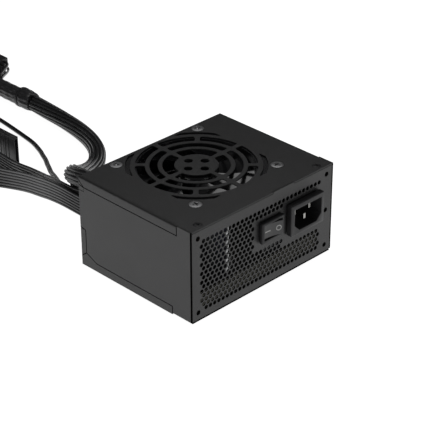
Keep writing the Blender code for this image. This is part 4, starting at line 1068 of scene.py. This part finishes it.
# %% Chokes and capacitors
def choke(node, turns):
    """Wound ring: R + r cos b across, with r rippling by |cos| once for each turn of wire."""
    low, high = node_box(node)
    centre, half = (low + high) / 2, (high - low) / 2
    a = np.linspace(0, 2 * np.pi, turns * 8, endpoint=False)[:, None]
    b = np.linspace(0, 2 * np.pi, 24, endpoint=False)[None, :]
    hole = 0.38 * half[0]
    wire = 0.55 * np.abs(np.cos(a * turns / 2)) + 0 * b
    wide, tall = (half[0] - hole) / 2 - 0.5, half[2] - 0.5
    square = 1 / (np.abs(np.cos(b)) ** 4 + np.abs(np.sin(b)) ** 4) ** 0.25
    across = half[0] - 0.5 - wide + (wide * square + wire) * np.cos(b)
    up = centre[2] + (tall * square + wire) * np.sin(b)
    points = np.stack([centre[0] + across * np.cos(a), centre[1] + across * np.sin(a), up], -1)
    made = surface(node + "_wound", np.concatenate([points, points[:1]]), copper, caps=False)
    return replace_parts(made, node)


for node, turns in (("boost_choke", 34), ("output_choke", 26), ("filter_choke", 24)):
    choke(node, turns)


def capacitor(node):
    """Sleeved can: a profile with a beaded foot and a rolled rim round a sunken lid."""
    low, high = node_box(node)
    radius, bottom, top = (high[0] - low[0]) / 2, low[2], high[2]
    centre = ((low + high) / 2)[:2]
    lid = [(0, top - 0.7), (radius * 0.8, top - 0.7), (radius * 0.86, top - 0.1), (radius * 0.95, top - 0.1)]
    bead = [(radius, bottom + 3.2), (radius - 0.5, bottom + 2.5), (radius, bottom + 1.8)]
    foot = [(radius, bottom + 0.5), (radius - 0.5, bottom), (0, bottom)]
    profile = rounded([*lid, (radius, top - 0.8), *bead, *foot], 0.3)
    made = surface(node + "_can", lathe(profile, centre), can_sleeve, caps=False)
    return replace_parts(made, node)


for node in ("bulk_capacitor", "output_capacitor_1", "output_capacitor_2"):
    capacitor(node)
print("chokes and capacitors made")


# %% Inner leads
def inner_lead(name, points, radius, finish, node):
    route, side, rise = route_frame(points, 0.8)
    made = surface(name, carried(route, side, rise, round_ring(0, 0, radius, 10)), finish)
    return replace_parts(made, node)


inner_lead("live_lead", LIVE_ROUTE, 1.0, brown_skin, "live_wire")
inner_lead("neutral_lead", NEUTRAL_ROUTE, 1.0, blue_skin, "neutral_wire")
route, side, rise = route_frame(HARNESS_ROUTE, 1.5)
harness = strands("harness", route, side, rise, [(4.3, 11), (1.9, 5)], 1.15, 0.004, wire_skin)
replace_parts(harness, "inner_harness")

# %% Board parts that keep their drawn shape
for node, finish, width, slot in (
        ("primary_heatsink", heatsink_metal, 0.25, "heatsink"),
        ("secondary_heatsink", heatsink_metal, 0.25, "heatsink"),
        ("bridge_rectifier", epoxy, 0.3, "epoxy"), ("power_transistor", epoxy, 0.3, "epoxy"),
        ("transformer_core", ferrite, 0.4, "ferrite"), ("film_capacitor", film, 0.5, "film_capacitor"),
        ("transformer_winding", tape, 0.4, "winding_tape")):
    softened(node, finish, width)
kept = {
    "case_paint": (case_paint, ["bottom_tray", "left_side_panel", "right_side_panel"]),
    "steel": (shaft_steel, ["fan_shaft", "fan_bearing"]), "ferrite": (ferrite, ["fan_magnet"]),
    "copper": (copper, ["fan_stator"]), "board_resin": (board_resin, ["main_board"]),
    "board_screws": (screw_zinc, [f"board_screw_{i}" for i in range(1, 5)]),
    "insulating_sheet": (paper, ["insulating_sheet"]),
    "contact_metal": (contact_metal, ["switch_terminal_1", "switch_terminal_2"]),
}
for finish, names in kept.values():
    for name in names:
        set_finish(NODES[name], finish)
print("inner parts finished")

# %% [markdown]
# ## Floor and light
# The floor is wide and pale and gives off light, so the upright faces mirror it and are brighter than
# the top. A low soft box at each front side fills the shadows. One box above and behind gives the top its
# sheen, and one over the fan gives its blades their highlights.

# %% Stage
floor_mesh = bpy.data.meshes.new("floor")
floor_mesh.from_pydata([(-6, -6, 0), (6, -6, 0), (6, 6, 0), (-6, 6, 0)], [], [(0, 1, 2, 3)])
floor = bpy.data.objects.new("floor", floor_mesh)
bpy.context.scene.collection.objects.link(floor)
floor_paint = Finish("floor_paint", Base_Color=(0.5, 0.5, 0.5), Roughness=0.9, Specular_IOR_Level=0.1,
                     Emission_Color=(1, 1, 1), Emission_Strength=0.95)
set_finish(floor, floor_paint)


def soft_light(name, place, aim, size, power):
    """A square area light at a place, turned to its aim."""
    data = bpy.data.lights.new(name, "AREA")
    data.shape = "SQUARE"
    data.size = size
    data.energy = power
    light = bpy.data.objects.new(name, data)
    light.location = place
    light.rotation_euler = (Vector(aim) - Vector(place)).to_track_quat("-Z", "Y").to_euler()
    bpy.context.scene.collection.objects.link(light)


soft_light("left_box", (-0.9, 0.1, 0.3), (0, 0, 0.03), 0.5, 1.0)
soft_light("front_box", (0.1, -0.9, 0.3), (0, 0, 0.03), 0.5, 1.0)
soft_light("top_box", (0.27, 0.27, 0.68), (0, 0, 0.06), 0.5, 1.0)
soft_light("fan_box", (0.0, 0.02, 0.9), (0, 0, 0.06), 0.5, 0.9)
world = bpy.data.worlds.new("studio")
world.use_nodes = True
world.node_tree.nodes["Background"].inputs["Color"].default_value = (1, 1, 1, 1)
world.node_tree.nodes["Background"].inputs["Strength"].default_value = 0.045
bpy.context.scene.world = world
bpy.context.scene.view_settings.view_transform = "Standard"
print("stage set")
